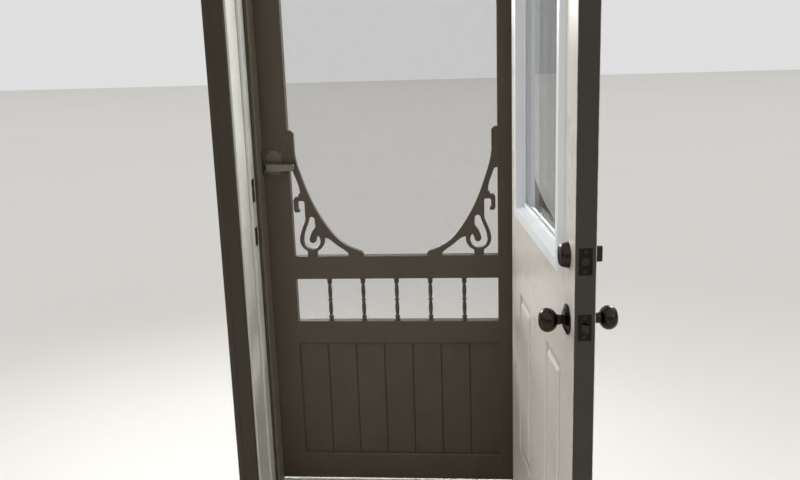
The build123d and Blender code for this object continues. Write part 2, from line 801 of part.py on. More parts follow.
def glazing_spacer():
    """Metal bar between the panes, around their edge."""
    x0, x1, z0, z1 = glass_span(SPACER_T / 2)
    return ringed(x0, x1, z0, z1, DOOR_YM - PANE_GAP / 2, DOOR_YM + PANE_GAP / 2, SPACER_T)


def door_sweep():
    """Finned strip along the foot of the leaf, that brushes the threshold."""
    base_t = 2.5
    fin_t = 2.0
    x = DOOR_W / 2
    body = block(-x, x, DOOR_Y0 + SKIN_T, DOOR_Y1 - SKIN_T, DOOR_Z0 - base_t, DOOR_Z0)
    fins = 4
    span = DOOR_T - 2 * SKIN_T - fin_t
    for i in range(fins):
        y = DOOR_Y0 + SKIN_T + span * i / (fins - 1)
        body += block(-x, x, y, y + fin_t, DOOR_Z0 - SWEEP_H + SEAL_SLACK, DOOR_Z0)
    return body


# Locks of the inner door, also modelled shut


def faceplate_blank(z):
    edge = -DOOR_W / 2
    y0, y1 = DOOR_YM - FACEPLATE_W / 2, DOOR_YM + FACEPLATE_W / 2
    return block(edge, edge + FACEPLATE_T, y0, y1, z - FACEPLATE_H / 2, z + FACEPLATE_H / 2)


def faceplate_screws_shape():
    screws = [
        edge_screw(-DOOR_W / 2, z + sign * SCREW_PITCH / 2, 1)
        for z in (LATCH_Z, BOLT_Z) for sign in (-1, 1)
    ]
    return group(screws)


def latch_case():
    """Latch body in its edge bore, with the faceplate on its end."""
    edge = -DOOR_W / 2
    body = faceplate_blank(LATCH_Z) + rod_x(DOOR_YM, LATCH_Z, CASE_R, edge, edge + CASE_LEN)
    y, z = LATCH_W / 2 + SEAL_SLACK, LATCH_H / 2 + SEAL_SLACK
    depth = edge + LATCH_LEN + LATCH_THROW + 1
    body -= block(edge - 1, depth, DOOR_YM - y, DOOR_YM + y, LATCH_Z - z, LATCH_Z + z)
    body -= rod_y(LOCK_X, LATCH_Z, spindle_bore_r(), DOOR_Y0, DOOR_Y1)
    return body - faceplate_screws_shape()


def spindle_bore_r():
    """Hole in the latch case that the square spindle turns in."""
    return SPINDLE_W * math.sqrt(2) / 2 + SEAL_SLACK


def deadbolt_case():
    """Deadbolt body in its edge bore, with the faceplate on its end."""
    edge = -DOOR_W / 2
    body = faceplate_blank(BOLT_Z) + rod_x(DOOR_YM, BOLT_Z, CASE_R, edge, edge + CASE_LEN)
    body -= rod_x(DOOR_YM, BOLT_Z, BOLT_R + RUN_FIT, edge - 1, edge + BOLT_LEN + 1)
    body -= rod_y(LOCK_X, BOLT_Z, TAIL_W / 2 + 1, DOOR_Y0, DOOR_Y1)
    return body - faceplate_screws_shape()


def latch_bolt():
    """Sprung bolt with a bevel towards the outside."""
    edge = -DOOR_W / 2
    y0, y1 = DOOR_YM - LATCH_W / 2, DOOR_YM + LATCH_W / 2
    tip = edge - LATCH_THROW
    points = [(tip, y0), (tip, y0 + 2), (edge - 1, y1), (edge + LATCH_LEN, y1), (edge + LATCH_LEN, y0)]
    return prism_z(points, LATCH_Z - LATCH_H / 2, LATCH_Z + LATCH_H / 2)


def deadbolt_bolt():
    """Round bolt, drawn back flush with the faceplate."""
    edge = -DOOR_W / 2
    return rod_x(DOOR_YM, BOLT_Z, BOLT_R, edge, edge + BOLT_LEN)


def turned(profile):
    """Solid turned about Z from (radius, height) points."""
    outline = make_face(Polyline([(r, 0, t) for r, t in profile], close=True))
    return revolve(outline, Axis.Z)


def rose():
    """Round plate behind a knob, with a stepped rim and a running hole for the knob's shank."""
    rim = 3.0
    bore = SHANK_R + RUN_FIT
    profile = [
        (bore, 0), (ROSE_R, 0), (ROSE_R, rim), (ROSE_R - rim, rim + 1),
        (ROSE_R / 2 + rim, ROSE_T), (bore, ROSE_T),
    ]
    return turned(profile)


def knob_roses():
    """Roses on both faces of the leaf."""
    return group([facing(rose(), LOCK_X, y, LATCH_Z, out) for y, out in ((DOOR_Y1, 1), (DOOR_Y0, -1))])


def knob():
    """Turned knob on its shank, measured out from the face of the leaf."""
    neck_t = KNOB_PROJ - 2 * KNOB_R + 14
    neck_r = SHANK_R + 2
    front_t = KNOB_PROJ - 2
    front_r = KNOB_R / 2
    middle = (neck_t + front_t) / 2
    shoulder = KNOB_R * 0.82
    belly = Spline([
        (neck_r, 0, neck_t), (shoulder, 0, neck_t + 6), (KNOB_R, 0, middle), (shoulder, 0, front_t - 5),
        (front_r, 0, front_t),
    ])
    crown_r = (front_r ** 2 + (KNOB_PROJ - front_t) ** 2) / (2 * (KNOB_PROJ - front_t))
    half_turn = math.asin(front_r / crown_r) / 2
    crest = (crown_r * math.sin(half_turn), 0, KNOB_PROJ - crown_r * (1 - math.cos(half_turn)))
    crown = ThreePointArc((front_r, 0, front_t), crest, (0, 0, KNOB_PROJ))
    shank = Polyline([
        (0, 0, KNOB_PROJ), (0, 0, 1), (SHANK_R, 0, 1), (SHANK_R, 0, ROSE_T + 2), (neck_r, 0, neck_t),
    ])
    return revolve(make_face([belly, crown, shank]), Axis.Z)


def exterior_knob():
    """Outside knob in one piece with the square spindle."""
    ball = facing(knob(), LOCK_X, DOOR_Y1, LATCH_Z, 1)
    half = SPINDLE_W / 2
    y0 = DOOR_Y0 - ROSE_T
    spindle = block(LOCK_X - half, LOCK_X + half, y0, DOOR_Y1 + 2, LATCH_Z - half, LATCH_Z + half)
    return ball + spindle


def interior_knob():
    """Inside knob, with a square socket over the spindle."""
    ball = facing(knob(), LOCK_X, DOOR_Y0, LATCH_Z, -1)
    half = SPINDLE_W / 2 + PIN_FIT
    y0 = DOOR_Y0 - ROSE_T - 1
    return ball - block(LOCK_X - half, LOCK_X + half, y0, DOOR_Y0, LATCH_Z - half, LATCH_Z + half)


def deadbolt_collar():
    """Outside ring of the deadbolt, with the cylinder housing behind it."""
    bore = PLUG_R + PIN_FIT
    rim = 4.0
    back = 8.0
    profile = [
        (bore, -back), (COLLAR_R / 2, -back), (COLLAR_R / 2, 0), (COLLAR_R, 0),
        (COLLAR_R - rim, COLLAR_T - rim), (COLLAR_R - 2 * rim, COLLAR_T), (bore, COLLAR_T),
    ]
    return facing(turned(profile), LOCK_X, DOOR_Y1, BOLT_Z, 1)


def key_plug():
    """Cylinder plug that the key turns, with its keyway."""
    depth = 9.0
    front = DOOR_Y1 + COLLAR_T
    plug = rod_y(LOCK_X, BOLT_Z, PLUG_R, DOOR_Y1 - 6, front)
    return plug - block(LOCK_X - 1, LOCK_X + 1, front - depth, front + 1, BOLT_Z - 4, BOLT_Z + 4)


def deadbolt_rose():
    """Inside plate of the deadbolt."""
    bore = TURN_W / 2 + 2 + RUN_FIT
    profile = [(bore, 0), (COLLAR_R, 0), (COLLAR_R, 3), (COLLAR_R - 3, ROSE_T), (bore, ROSE_T)]
    return facing(turned(profile), LOCK_X, DOOR_Y0, BOLT_Z, -1)


def thumbturn():
    """Thumb piece with its stem and the flat tail bar that drives the bolt."""
    stem_r = TURN_W / 2 + 2
    front = DOOR_Y0 - TURN_PROJ
    neck = DOOR_Y0 - ROSE_T - 2
    stem = rod_y(LOCK_X, BOLT_Z, stem_r, neck, DOOR_Y0)
    half = TURN_W / 2
    wing = TURN_L / 2
    grip = block(LOCK_X - half, LOCK_X + half, front, neck, BOLT_Z - wing, BOLT_Z + wing)
    grip = fillet(grip.edges().filter_by(Axis.Y), half * 0.9)
    tail = block(
        LOCK_X - TAIL_T / 2, LOCK_X + TAIL_T / 2, DOOR_Y0 - 1, DOOR_YM + CASE_R + 1,
        BOLT_Z - TAIL_W / 2, BOLT_Z + TAIL_W / 2)
    return stem + grip + tail


# Screen door


def screen_openings():
    """Clear openings of the screen door as (z0, z1): boards, spindles and the tall screen."""
    return ((BOTTOM_Z1, LOW_Z0), (LOW_Z1, MID_Z0), (MID_Z1, TOP_Z0))


def eased_edges():
    """Bevels around every opening, on both faces of the leaf."""
    cuts = []
    for z0, z1 in screen_openings():
        for y, into in ((SCREEN_Y0, 1), (SCREEN_Y1, -1)):
            grow = EDGE_EASE
            x = OPENING_X + grow
            cuts.append(frustum(-x, x, z0 - grow, z1 + grow, y, into * grow, grow))
    return cuts


def mesh_rebates():
    """Rebates on the outside face that take the insect screen and its beads."""
    cuts = []
    for z0, z1 in screen_openings()[1:]:
        x = OPENING_X + MESH_LAP
        y0 = SCREEN_Y1 - MESH_REBATE
        cuts.append(block(-x, x, y0, SCREEN_Y1 + 1, z0 - MESH_LAP, z1 + MESH_LAP))
    return cuts


def dressed(member):
    """Member of the screen door after its edges and rebates are cut."""
    for cut in eased_edges() + mesh_rebates():
        member -= cut
    return member


def rail_heights():
    """Bottom and top of each rail of the screen door."""
    return {
        "screen_bottom_rail": (SCREEN_Z0, BOTTOM_Z1),
        "screen_low_rail": (LOW_Z0, LOW_Z1),
        "screen_mid_rail": (MID_Z0, MID_Z1),
        "screen_top_rail": (TOP_Z0, SCREEN_Z1),
    }


def tenon(side, z0, z1, slack):
    """Tenon on one end of a rail, or its mortise when slack is added."""
    half = TENON_T / 2 + slack
    x1 = OPENING_X + TENON_L + slack
    low, high = z0 + TENON_SHOULDER - slack, z1 - TENON_SHOULDER + slack
    return block(side * OPENING_X, side * x1, SCREEN_YM - half, SCREEN_YM + half, low, high)


def screen_stile(side):
    """Upright of the screen door in one length, mortised for the rails."""
    body = block(side * OPENING_X, side * SCREEN_W / 2, SCREEN_Y0, SCREEN_Y1, SCREEN_Z0, SCREEN_Z1)
    for z0, z1 in rail_heights().values():
        body -= tenon(side, z0, z1, TENON_SLACK)
    return dressed(body - board_housing())


def screen_rail(z0, z1):
    """Rail of the screen door with a tenon on each end, housed for the boards and spindles."""
    body = block(-OPENING_X, OPENING_X, SCREEN_Y0, SCREEN_Y1, z0, z1)
    body += tenon(-1, z0, z1, 0) + tenon(1, z0, z1, 0)
    return dressed(body - board_housing() - spindle_sockets())


def board_housing():
    """Grooves in the members around the boards."""
    half = BOARD_T / 2
    x = OPENING_X + BOARD_HOUSING
    low, high = BOTTOM_Z1 - BOARD_HOUSING, LOW_Z0 + BOARD_HOUSING
    return block(-x, x, SCREEN_YM - half, SCREEN_YM + half, low, high)


def board(index):
    """One tongued and grooved board with V joints on both faces."""
    pitch = 2 * OPENING_X / BOARD_COUNT
    x0 = -OPENING_X + index * pitch
    x1 = x0 + pitch
    half = BOARD_T / 2
    first, last = index == 0, index == BOARD_COUNT - 1
    left = x0 - BOARD_HOUSING + TENON_SLACK if first else x0
    right = x1 + BOARD_HOUSING - TENON_SLACK if last else x1
    v_left = 0 if first else BOARD_V
    v_right = 0 if last else BOARD_V
    y0, y1 = SCREEN_YM - half, SCREEN_YM + half
    outline = [
        (left, y0 + v_left), (left + v_left, y0), (right - v_right, y0), (right, y0 + v_right),
        (right, y1 - v_right), (right - v_right, y1), (left + v_left, y1), (left, y1 - v_left),
    ]
    points = [p for i, p in enumerate(outline) if p != outline[i - 1]]
    z0, z1 = BOTTOM_Z1 - BOARD_HOUSING + TENON_SLACK, LOW_Z0 + BOARD_HOUSING - TENON_SLACK
    body = prism_z(points, z0, z1)
    tongue = TONGUE_T / 2
    if not last:
        body += block(x1, x1 + TONGUE_D, SCREEN_YM - tongue, SCREEN_YM + tongue, z0, z1)
    if not first:
        slot = tongue + TONGUE_SLACK / 2
        body -= block(x0, x0 + TONGUE_D + TONGUE_SLACK, SCREEN_YM - slot, SCREEN_YM + slot, z0, z1)
    return body


def panel_boards():
    return group([board(i) for i in range(BOARD_COUNT)])


def spindle_places():
    """Middle of each spindle along the rail."""
    pitch = 2 * OPENING_X / (SPINDLE_COUNT + 1)
    return [-OPENING_X + pitch * (i + 1) for i in range(SPINDLE_COUNT)]


def spindle_y():
    return SCREEN_Y0 + SPINDLE_SETBACK


def spindle_sockets():
    """Round sockets in both rails for the pins of the spindles."""
    low, high = LOW_Z1 - SPINDLE_PIN_L - 1, MID_Z0 + SPINDLE_PIN_L + 1
    return [rod_z(x, spindle_y(), SPINDLE_PIN_R + PIN_FIT, low, high) for x in spindle_places()]


def spindle(x):
    """Turned spindle: pins, end collars, balls, slim necks and a middle bead."""
    length = MID_Z0 - LOW_Z1
    half = length / 2
    collar_r, ball_r, neck_r, vase_r, bead_r = 8.5, 8.0, 4.2, 6.6, 8.5
    collar_t, ball_t, bead_t = 5.0, 14.0, 9.0
    neck = half - collar_t - ball_t
    upper = [
        Line((0, 0, half + SPINDLE_PIN_L), (SPINDLE_PIN_R, 0, half + SPINDLE_PIN_L)),
        Polyline((SPINDLE_PIN_R, 0, half + SPINDLE_PIN_L), (SPINDLE_PIN_R, 0, half), (collar_r, 0, half),
                 (collar_r, 0, half - collar_t), (neck_r, 0, half - collar_t - 1)),
        ThreePointArc((neck_r, 0, half - collar_t - 1), (ball_r, 0, neck + ball_t / 2), (neck_r, 0, neck)),
        ThreePointArc((neck_r, 0, neck), (vase_r, 0, (neck + bead_t) / 2), (neck_r, 0, bead_t / 2)),
        ThreePointArc((neck_r, 0, bead_t / 2), (bead_r - 1.5, 0, bead_t / 4), (bead_r, 0, 0)),
    ]
    closing = Line((bead_r, 0, 0), (0, 0, 0))
    axis = Line((0, 0, 0), (0, 0, half + SPINDLE_PIN_L))
    turned_half = revolve(make_face(upper + [closing, axis]), Axis.Z)
    whole = turned_half + mirror(turned_half, Plane.XY)
    return Pos(x, spindle_y(), LOW_Z1 + half) * whole


def spindles():
    return group([spindle(x) for x in spindle_places()])


def bracket_face():
    """Outline of the left bracket as (u, v): u from the stile, v up from the rail."""
    outer = Spline([(BRACKET_W - 6, 15), (180, 28), (146, 50), (109, 94), (81, 140), (55, 196), (39, 241),
                    (27, 280), (20, 310), (18, 340)])
    inner = Spline([(10, 271), (19, 247), (27, 221), (29, 205)])
    top = Polyline((18, 340), (18, BRACKET_H - 8), (10, BRACKET_H), (0, BRACKET_H), (0, 274), (10, 271))
    throat = Polyline((29, 205), (42, 170), (60, 130), (102, 80), (108, 58))
    under = Spline([(108, 58), (120, 50), (138, 35), (159, 20), (172, 8)])
    foot = Polyline((172, 8), (172, 0), (BRACKET_W, 0), (BRACKET_W, 8), (BRACKET_W - 6, 15))
    return make_face([outer, top, inner, throat, under, foot])


def bracket_scroll():
    """Scrollwork between the blade and the corner: hook, stem, loop and curl."""
    loop_at, loop_r, eye_r = (59.5, 54.0), 39.0, 26.5
    loop = Pos(*loop_at) * Circle(loop_r)
    web = make_face(Polyline((41, 178), (41, 110), (60, 60), (98, 60), (108, 58), (104, 84), (78, 136),
                             (60, 172), close=True))
    stem_edge = Spline([(20.6, 57), (25, 76), (33, 97), (41, 116)])
    stem = make_face([stem_edge, Polyline((41, 116), (60, 116), (60, 57), (20.6, 57))])
    arm = make_face(Polyline((30, 178), (30, 192), (12, 190), (7, 180), (7, 150), (11, 142), (24, 142),
                             (24, 150), (20, 152), (20, 172), (24, 178), close=True))
    bridge = make_face(Polyline((24, 178), (50, 176), (50, 196), (24, 200), close=True))
    foot = make_face(Polyline((44, 0), (72, 0), (74, 22), (42, 22), close=True))
    eye = Pos(58.5, 50) * Circle(eye_r)
    slot_edge = ThreePointArc((52, 118), (61, 127), (70, 118))
    slot = make_face([slot_edge, Polyline((70, 118), (71, 95), (60, 76), (58, 60), (33, 60)),
                      Spline([(33, 60), (37, 78), (45, 98), (52, 118)])])
    curl = Pos(61.5, 54) * Circle(10.5)
    curl_neck = make_face(Polyline((51.5, 58), (58, 77), (71, 95), (84, 84), (76, 64), (72, 56), close=True))
    solid_area = loop + web + stem + arm + bridge + foot
    return solid_area, (eye + slot) - curl - curl_neck


def bracket(side):
    """Scroll sawn bracket, seated on the mid rail and against the stile."""
    solid_area, hole = bracket_scroll()
    face = bracket_face() + solid_area - hole
    flat = extrude(face, amount=BRACKET_T)
    upright = Pos(-OPENING_X, SCREEN_Y0 + BRACKET_SETBACK + BRACKET_T, MID_Z1) * Rot(90, 0, 0) * flat
    return upright if side < 0 else mirror(upright, Plane.YZ)


def mesh_spans():
    """Corners of each piece of insect screen."""
    x = OPENING_X + MESH_LAP - TENON_SLACK
    lap = MESH_LAP - TENON_SLACK
    return [(-x, x, z0 - lap, z1 + lap) for z0, z1 in screen_openings()[1:]]


def insect_screen():
    """Fine cloth laid in its rebates on the outside of the leaf."""
    y0 = SCREEN_Y1 - MESH_REBATE
    return group([block(x0, x1, y0, y0 + MESH_T, z0, z1) for x0, x1, z0, z1 in mesh_spans()])


def screen_beads():
    """Beads that hold the cloth in its rebates."""
    y0 = SCREEN_Y1 - MESH_REBATE + MESH_T
    return group([ringed(x0, x1, z0, z1, y0, SCREEN_Y1, MESH_LAP) for x0, x1, z0, z1 in mesh_spans()])


# Latch of the screen door


def rounded_plate(x0, x1, y0, y1, z0, z1, radius):
    """Plate with rounded corners, flat in the plane of the door."""
    return fillet(block(x0, x1, y0, y1, z0, z1).edges().filter_by(Axis.Y), radius)


def screen_latch_case():
    """Latch body on the room side of the stile, with a channel for its nose."""
    z0, z1 = SLATCH_ZM - SLATCH_H / 2, SLATCH_ZM + SLATCH_H / 2
    plate_t = 3.0
    plate = rounded_plate(SLATCH_X0, SLATCH_X1, SCREEN_Y0 - plate_t, SCREEN_Y0, z0, z1, 3)
    hub_h = LEVER_H / 2 + 4
    box = rounded_plate(SLATCH_X0, SLATCH_X1 - 8, SCREEN_Y0 - SLATCH_PROUD, SCREEN_Y0 - plate_t,
                        LEVER_Z - hub_h, LEVER_Z + hub_h, 4)
    y, z = NOSE_W / 2 + SEAL_SLACK, NOSE_H / 2 + SEAL_SLACK
    x1 = SLATCH_X0 + NOSE_LEN + NOSE_OUT + 1
    channel = block(SLATCH_X0 - 1, x1, NOSE_Y - y, NOSE_Y + y, LEVER_Z - z, LEVER_Z + z)
    return plate + box - channel - lever_pivot(PIN_FIT)


def lever_pivot(fit):
    """Pivot pin of the lever, or its bore in the latch body."""
    face = SCREEN_Y0 - SLATCH_PROUD
    return rod_y(LEVER_X, LEVER_Z, LEVER_PIN_R + fit, face - 1, face + LEVER_PIN_R / 2 + fit)


def screen_lever():
    """Lever handle that points to the middle of the door."""
    front = SCREEN_Y0 - SLATCH_PROUD - 1 - LEVER_T
    back = front + LEVER_T
    x1 = LEVER_X + LEVER_L + LEVER_H / 2
    half = LEVER_H / 2
    tip = half - 2
    outline = [
        (LEVER_X - half, LEVER_Z - half), (LEVER_X + half, LEVER_Z - half), (x1, LEVER_Z - tip),
        (x1, LEVER_Z + tip), (LEVER_X + half, LEVER_Z + half), (LEVER_X - half, LEVER_Z + half),
    ]
    bar = fillet(prism_y(outline, front, back).edges().filter_by(Axis.Y), 5)
    return bar + lever_pivot(0)


def screen_latch_nose():
    """Nose that hooks behind the keeper on the frame."""
    x0 = SLATCH_X0 - NOSE_OUT
    points = [
        (x0, NOSE_Y + NOSE_W / 2), (x0, NOSE_Y), (x0 + NOSE_OUT - 1, NOSE_Y - NOSE_W / 2),
        (x0 + NOSE_LEN, NOSE_Y - NOSE_W / 2), (x0 + NOSE_LEN, NOSE_Y + NOSE_W / 2),
    ]
    return prism_z(points, LEVER_Z - NOSE_H / 2, LEVER_Z + NOSE_H / 2)


def screen_keeper():
    """Keeper on the side of the frame's stop, with a ridge that the nose hooks behind."""
    z0, z1 = SLATCH_ZM - SLATCH_H / 2, SLATCH_ZM + SLATCH_H / 2
    y0 = NOSE_Y - NOSE_W - 6
    ridge_y = NOSE_Y + NOSE_W / 2 + 1
    plate = block(-STOP_X, -STOP_X + KEEPER_T, y0, FRAME_Y1 - 0.5, z0, z1)
    return plate + block(-STOP_X, -STOP_X + KEEPER_T + KEEPER_RIDGE, ridge_y, ridge_y + 2.5, z0, z1)


def outer_pull():
    """Bow handle on the outside of the stile, on two feet."""
    x = -SCREEN_W / 2 + STILE_W / 2
    z0, z1 = SLATCH_ZM - PULL_H / 2, SLATCH_ZM + PULL_H / 2
    y1 = SCREEN_Y1 + PULL_PROJ - PULL_R
    bar = rod_z(x, y1, PULL_R, z0 - PULL_R, z1 + PULL_R)
    for z in (z0 + PULL_R, z1 - PULL_R):
        bar += rod_y(x, z, PULL_R * 0.8, SCREEN_Y1, y1)
        bar += rod_y(x, z, 2 * PULL_R, SCREEN_Y1, SCREEN_Y1 + 3)
    return bar


def frame_nodes():
    nodes = {
        "strike_jamb": strike_jamb(),
        "hinge_jamb": hinge_jamb(),
        "head_jamb": head_jamb(),
        "sill": sill(),
        "threshold": threshold(),
        "side_linings": group([lining_side(-1), lining_side(1)]),
        "head_lining": lining_head(),
        "strike_casing": casing_leg(-1),
        "hinge_casing": casing_leg(1),
        "head_casing": casing_head(),
        "brickmould": group([brick_leg(-1), brick_leg(1), brick_head()]),
        "weatherstrip": weatherstrip(),
        "latch_strike": latch_strike(),
        "deadbolt_strike": deadbolt_strike(),
        "strike_screws": strike_screws(),
        "screen_keeper": screen_keeper(),
        "frame_hinge_leaves": group([frame_hinge_leaves(), screen_frame_leaves()]),
        "hinge_pins": hinge_pins(),
    }
    return nodes


def inner_door_nodes():
    closed = {
        "exterior_skin": exterior_skin(),
        "interior_skin": interior_skin(),
        "foam_core": foam_core(),
        "hinge_edge_stile": hinge_stile(),
        "lock_edge_stile": lock_stile(),
        "edge_rails": edge_rails(),
        "lock_block": lock_block(),
        "exterior_lite_frame": lite_frame(DOOR_Y1, 1),
        "interior_lite_frame": lite_frame(DOOR_Y0, -1),
        "glass_panes": glass_panes(),
        "glazing_spacer": glazing_spacer(),
        "door_sweep": door_sweep(),
        "latch_case": latch_case(),
        "deadbolt_case": deadbolt_case(),
        "faceplate_screws": faceplate_screws_shape(),
        "door_hinge_leaves": door_hinge_leaves(),
        "knob_roses": knob_roses(),
        "exterior_knob": exterior_knob(),
        "interior_knob": interior_knob(),
        "latch_bolt": latch_bolt(),
        "deadbolt_collar": deadbolt_collar(),
        "deadbolt_rose": deadbolt_rose(),
        "key_plug": key_plug(),
        "thumbturn": thumbturn(),
        "deadbolt_bolt": deadbolt_bolt(),
    }
    return {name: swing_open(shape) for name, shape in closed.items()}


def screen_door_nodes():
    nodes = {
        "screen_latch_stile": screen_stile(-1),
        "screen_hinge_stile": screen_stile(1),
        "panel_boards": panel_boards(),
        "spindles": spindles(),
        "left_bracket": bracket(-1),
        "right_bracket": bracket(1),
        "insect_screen": insect_screen(),
        "screen_beads": screen_beads(),
        "screen_door_leaves": screen_door_leaves(),
        "screen_latch_case": screen_latch_case(),
        "screen_lever": screen_lever(),
        "screen_latch_nose": screen_latch_nose(),
    }
    for name, (z0, z1) in rail_heights().items():
        nodes[name] = screen_rail(z0, z1)
    nodes["outer_pull"] = outer_pull()
    return nodes


os.makedirs("parts", exist_ok=True)
all_nodes = {**frame_nodes(), **inner_door_nodes(), **screen_door_nodes()}
for name, shape in all_nodes.items():
    export_step(shape, f"parts/{name}.step")
print(len(all_nodes), "nodes")
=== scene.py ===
import json
import math

import bmesh
import bpy
from mathutils import Matrix, Vector


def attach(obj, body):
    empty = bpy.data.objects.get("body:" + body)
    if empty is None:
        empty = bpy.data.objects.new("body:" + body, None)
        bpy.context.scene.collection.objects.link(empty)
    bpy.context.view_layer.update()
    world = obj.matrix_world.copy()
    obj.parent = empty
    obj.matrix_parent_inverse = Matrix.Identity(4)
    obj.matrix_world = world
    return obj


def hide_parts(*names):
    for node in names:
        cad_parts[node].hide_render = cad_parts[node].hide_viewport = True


bl_info = {
    "name": "Doorway with screen door",
    "version": (1, 0, 0),
    "blender": (4, 5, 0),
    "location": "View3D > Sidebar > Doorway",
    "description": "Finishes, small fittings and stage of a doorway with two doors",
    "category": "Object",
}

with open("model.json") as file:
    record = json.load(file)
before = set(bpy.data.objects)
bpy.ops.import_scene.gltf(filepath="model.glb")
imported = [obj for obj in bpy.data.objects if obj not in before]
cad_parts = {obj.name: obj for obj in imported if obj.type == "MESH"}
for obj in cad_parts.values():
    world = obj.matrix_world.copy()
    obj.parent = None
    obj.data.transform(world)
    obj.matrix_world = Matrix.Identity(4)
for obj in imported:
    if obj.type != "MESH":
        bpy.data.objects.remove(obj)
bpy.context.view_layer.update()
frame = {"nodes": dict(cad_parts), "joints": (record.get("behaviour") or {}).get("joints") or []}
NODES = frame["nodes"]
JOINTS = {joint["name"]: joint for joint in frame["joints"]}
PIVOT = Vector(JOINTS["inner_door_hinge"]["pos_m"])
OPEN_ANGLE = math.radians(-JOINTS["inner_door_hinge"]["range_deg"][0])
SWING = (
    Matrix.Translation((PIVOT.x, PIVOT.y, 0))
    @ Matrix.Rotation(OPEN_ANGLE, 4, "Z")
    @ Matrix.Translation((-PIVOT.x, -PIVOT.y, 0))
)
UNSWING = SWING.inverted()
QUARTER_TURN = math.radians(90)


def node_span(name, swung=False):
    """Lowest and highest corner of a CAD node, in the shut position for the inner door."""
    points = [(UNSWING @ v.co if swung else v.co) for v in NODES[name].data.vertices]
    low = Vector([min(p[i] for p in points) for i in range(3)])
    high = Vector([max(p[i] for p in points) for i in range(3)])
    return low, high


# Sizes and colours


def colour(label, rgb, text):
    """Colour setting, given as it looks on screen and kept as linear light."""
    seen = [v / 255 for v in rgb]
    linear = [(c / 12.92 if c <= 0.04045 else ((c + 0.055) / 1.055) ** 2.4) for c in seen]
    return bpy.props.FloatVectorProperty(
        name=label, description=text, subtype="COLOR", size=3, min=0, max=1, default=linear
    )


def length(label, default, text):
    """Length setting in metres."""
    return bpy.props.FloatProperty(
        name=label, description=text, default=default, min=0, unit="LENGTH", subtype="DISTANCE"
    )


class DOORWAY_PG_colours(bpy.types.PropertyGroup):
    # The screen door's taupe is set darker than its paint, as painted shade
    screen_door: colour("Screen door", (80, 69, 55), "Paint of the screen door")
    screen_worn: colour("Screen door wear", (108, 97, 83), "Its paint where edges are rubbed")
    # The casing's paint is set darker, as painted shade
    casing: colour("Casing", (60, 52, 40), "Paint of the casing in the room")
    stops: colour("Stops", (120, 112, 94), "Paint of the stops, outside the weatherstrip")
    moulding: colour("Outside moulding", (150, 142, 128), "Paint of the moulding outside")
    lining: colour("Lining", (224, 224, 216), "White paint of the lining and the jambs")
    lining_worn: colour("Lining wear", (146, 138, 122), "White paint where edges are rubbed")
    leaf: colour("Inner door", (214, 208, 198), "Enamel on the faces of the inner door")
    lite: colour("Glazed frame", (230, 233, 236), "Moulded frame and beads around the glass")
    leaf_marks: colour("Hand marks", (168, 156, 138), "Handling marks near the locks")
    # The edge's stain is set dark, partly as painted shade
    leaf_edge_stain_and_shade: colour("Inner door edge", (50, 43, 34), "Stained timber edge of the inner door")
    # Nickel, lock plates, bolts and screws are set dark, as a painted dark reflection
    nickel: colour("Dark nickel", (54, 49, 43), "Satin metal of knobs, locks and hinges")
    plates: colour("Lock plates", (40, 37, 31), "Dark metal of the plates let into edges")
    steel: colour("Bolts and screws", (62, 58, 51), "Metal of the bolts and of the screws")
    latch: colour("Screen latch", (112, 110, 99), "Metal of the screen door's latch")
    lever: colour("Screen lever", (128, 124, 112), "Metal of the screen latch's lever")
    saddle: colour("Threshold", (178, 175, 167), "Aluminium of the threshold")
    foam: colour("Weatherstrip", (64, 58, 47), "Foam of the weatherstrip")
    vinyl: colour("Sweep", (70, 66, 61), "Vinyl of the sweep")
    cloth: colour("Insect cloth", (66, 66, 64), "Threads of the insect cloth")
    floor: colour("Floor", (226, 224, 219), "Floor of the stage")


class DOORWAY_PG_sizes(bpy.types.PropertyGroup):
    cloth_pitch: length("Cloth pitch", 0.0015, "Distance between threads of the insect cloth")
    cloth_thread: length("Cloth thread", 0.0002, "Thickness of a thread of the insect cloth")
    cloth_slack: length("Cloth slack", 0.0006, "How far the insect cloth strays from flat")
    screw_head: length("Screw head", 0.0039, "Radius of a countersunk screw head")
    pan_head: length("Latch screw head", 0.0032, "Radius of a screw head on the screen latch")
    bead: length("Glazing bead", 0.0095, "Width of the bead around the glass")
    bead_rise: length("Bead height", 0.004, "Height of the bead's flat edges above the glass")
    bead_ridge: length("Bead ridge", 0.003, "Height of the ridge along the bead's middle")
    screen_leaf: length("Screen hinge leaf", 0.0013, "Thickness of a screen door hinge's leaf")
    plug: length("Lite plug", 0.0052, "Radius of a screw cover on the glazed frame")
    box_depth: length("Bolt box depth", 0.0095, "Depth of the box behind the deadbolt's strike")
    box_radius: length("Bolt box radius", 0.0125, "Outside radius of the dust box")
    box_wall: length("Bolt box wall", 0.0015, "Wall of the dust box")
    wear: length("Edge wear", 0.0024, "Width of the rubbed paint along edges")
    lens: bpy.props.FloatProperty(
        name="Lens", description="Focal length of the camera", default=41.2, min=1, unit="CAMERA"
    )


def colours():
    return bpy.context.scene.doorway_colours


def sizes():
    return bpy.context.scene.doorway_sizes


# Plain colours, as linear light
# Unpainted timber of the strike pockets, darkened as painted shade in those recesses
BARE_TIMBER_IN_SHADE = (0.05, 0.036, 0.022)
TIMBER_LIGHT, TIMBER_DARK = (0.62, 0.44, 0.26), (0.45, 0.29, 0.15)
CORE_FOAM = (0.62, 0.55, 0.3)
BOX_RESIN = (0.03, 0.03, 0.03)
SPACER_METAL = (0.5, 0.5, 0.5)
GLASS_TINT = (0.97, 0.985, 0.98)
STRIP_DUST, CLOTH_DUST = (0.16, 0.14, 0.11), (0.2, 0.19, 0.17)
SCUFF_TINT = (0.12, 0.1, 0.08)

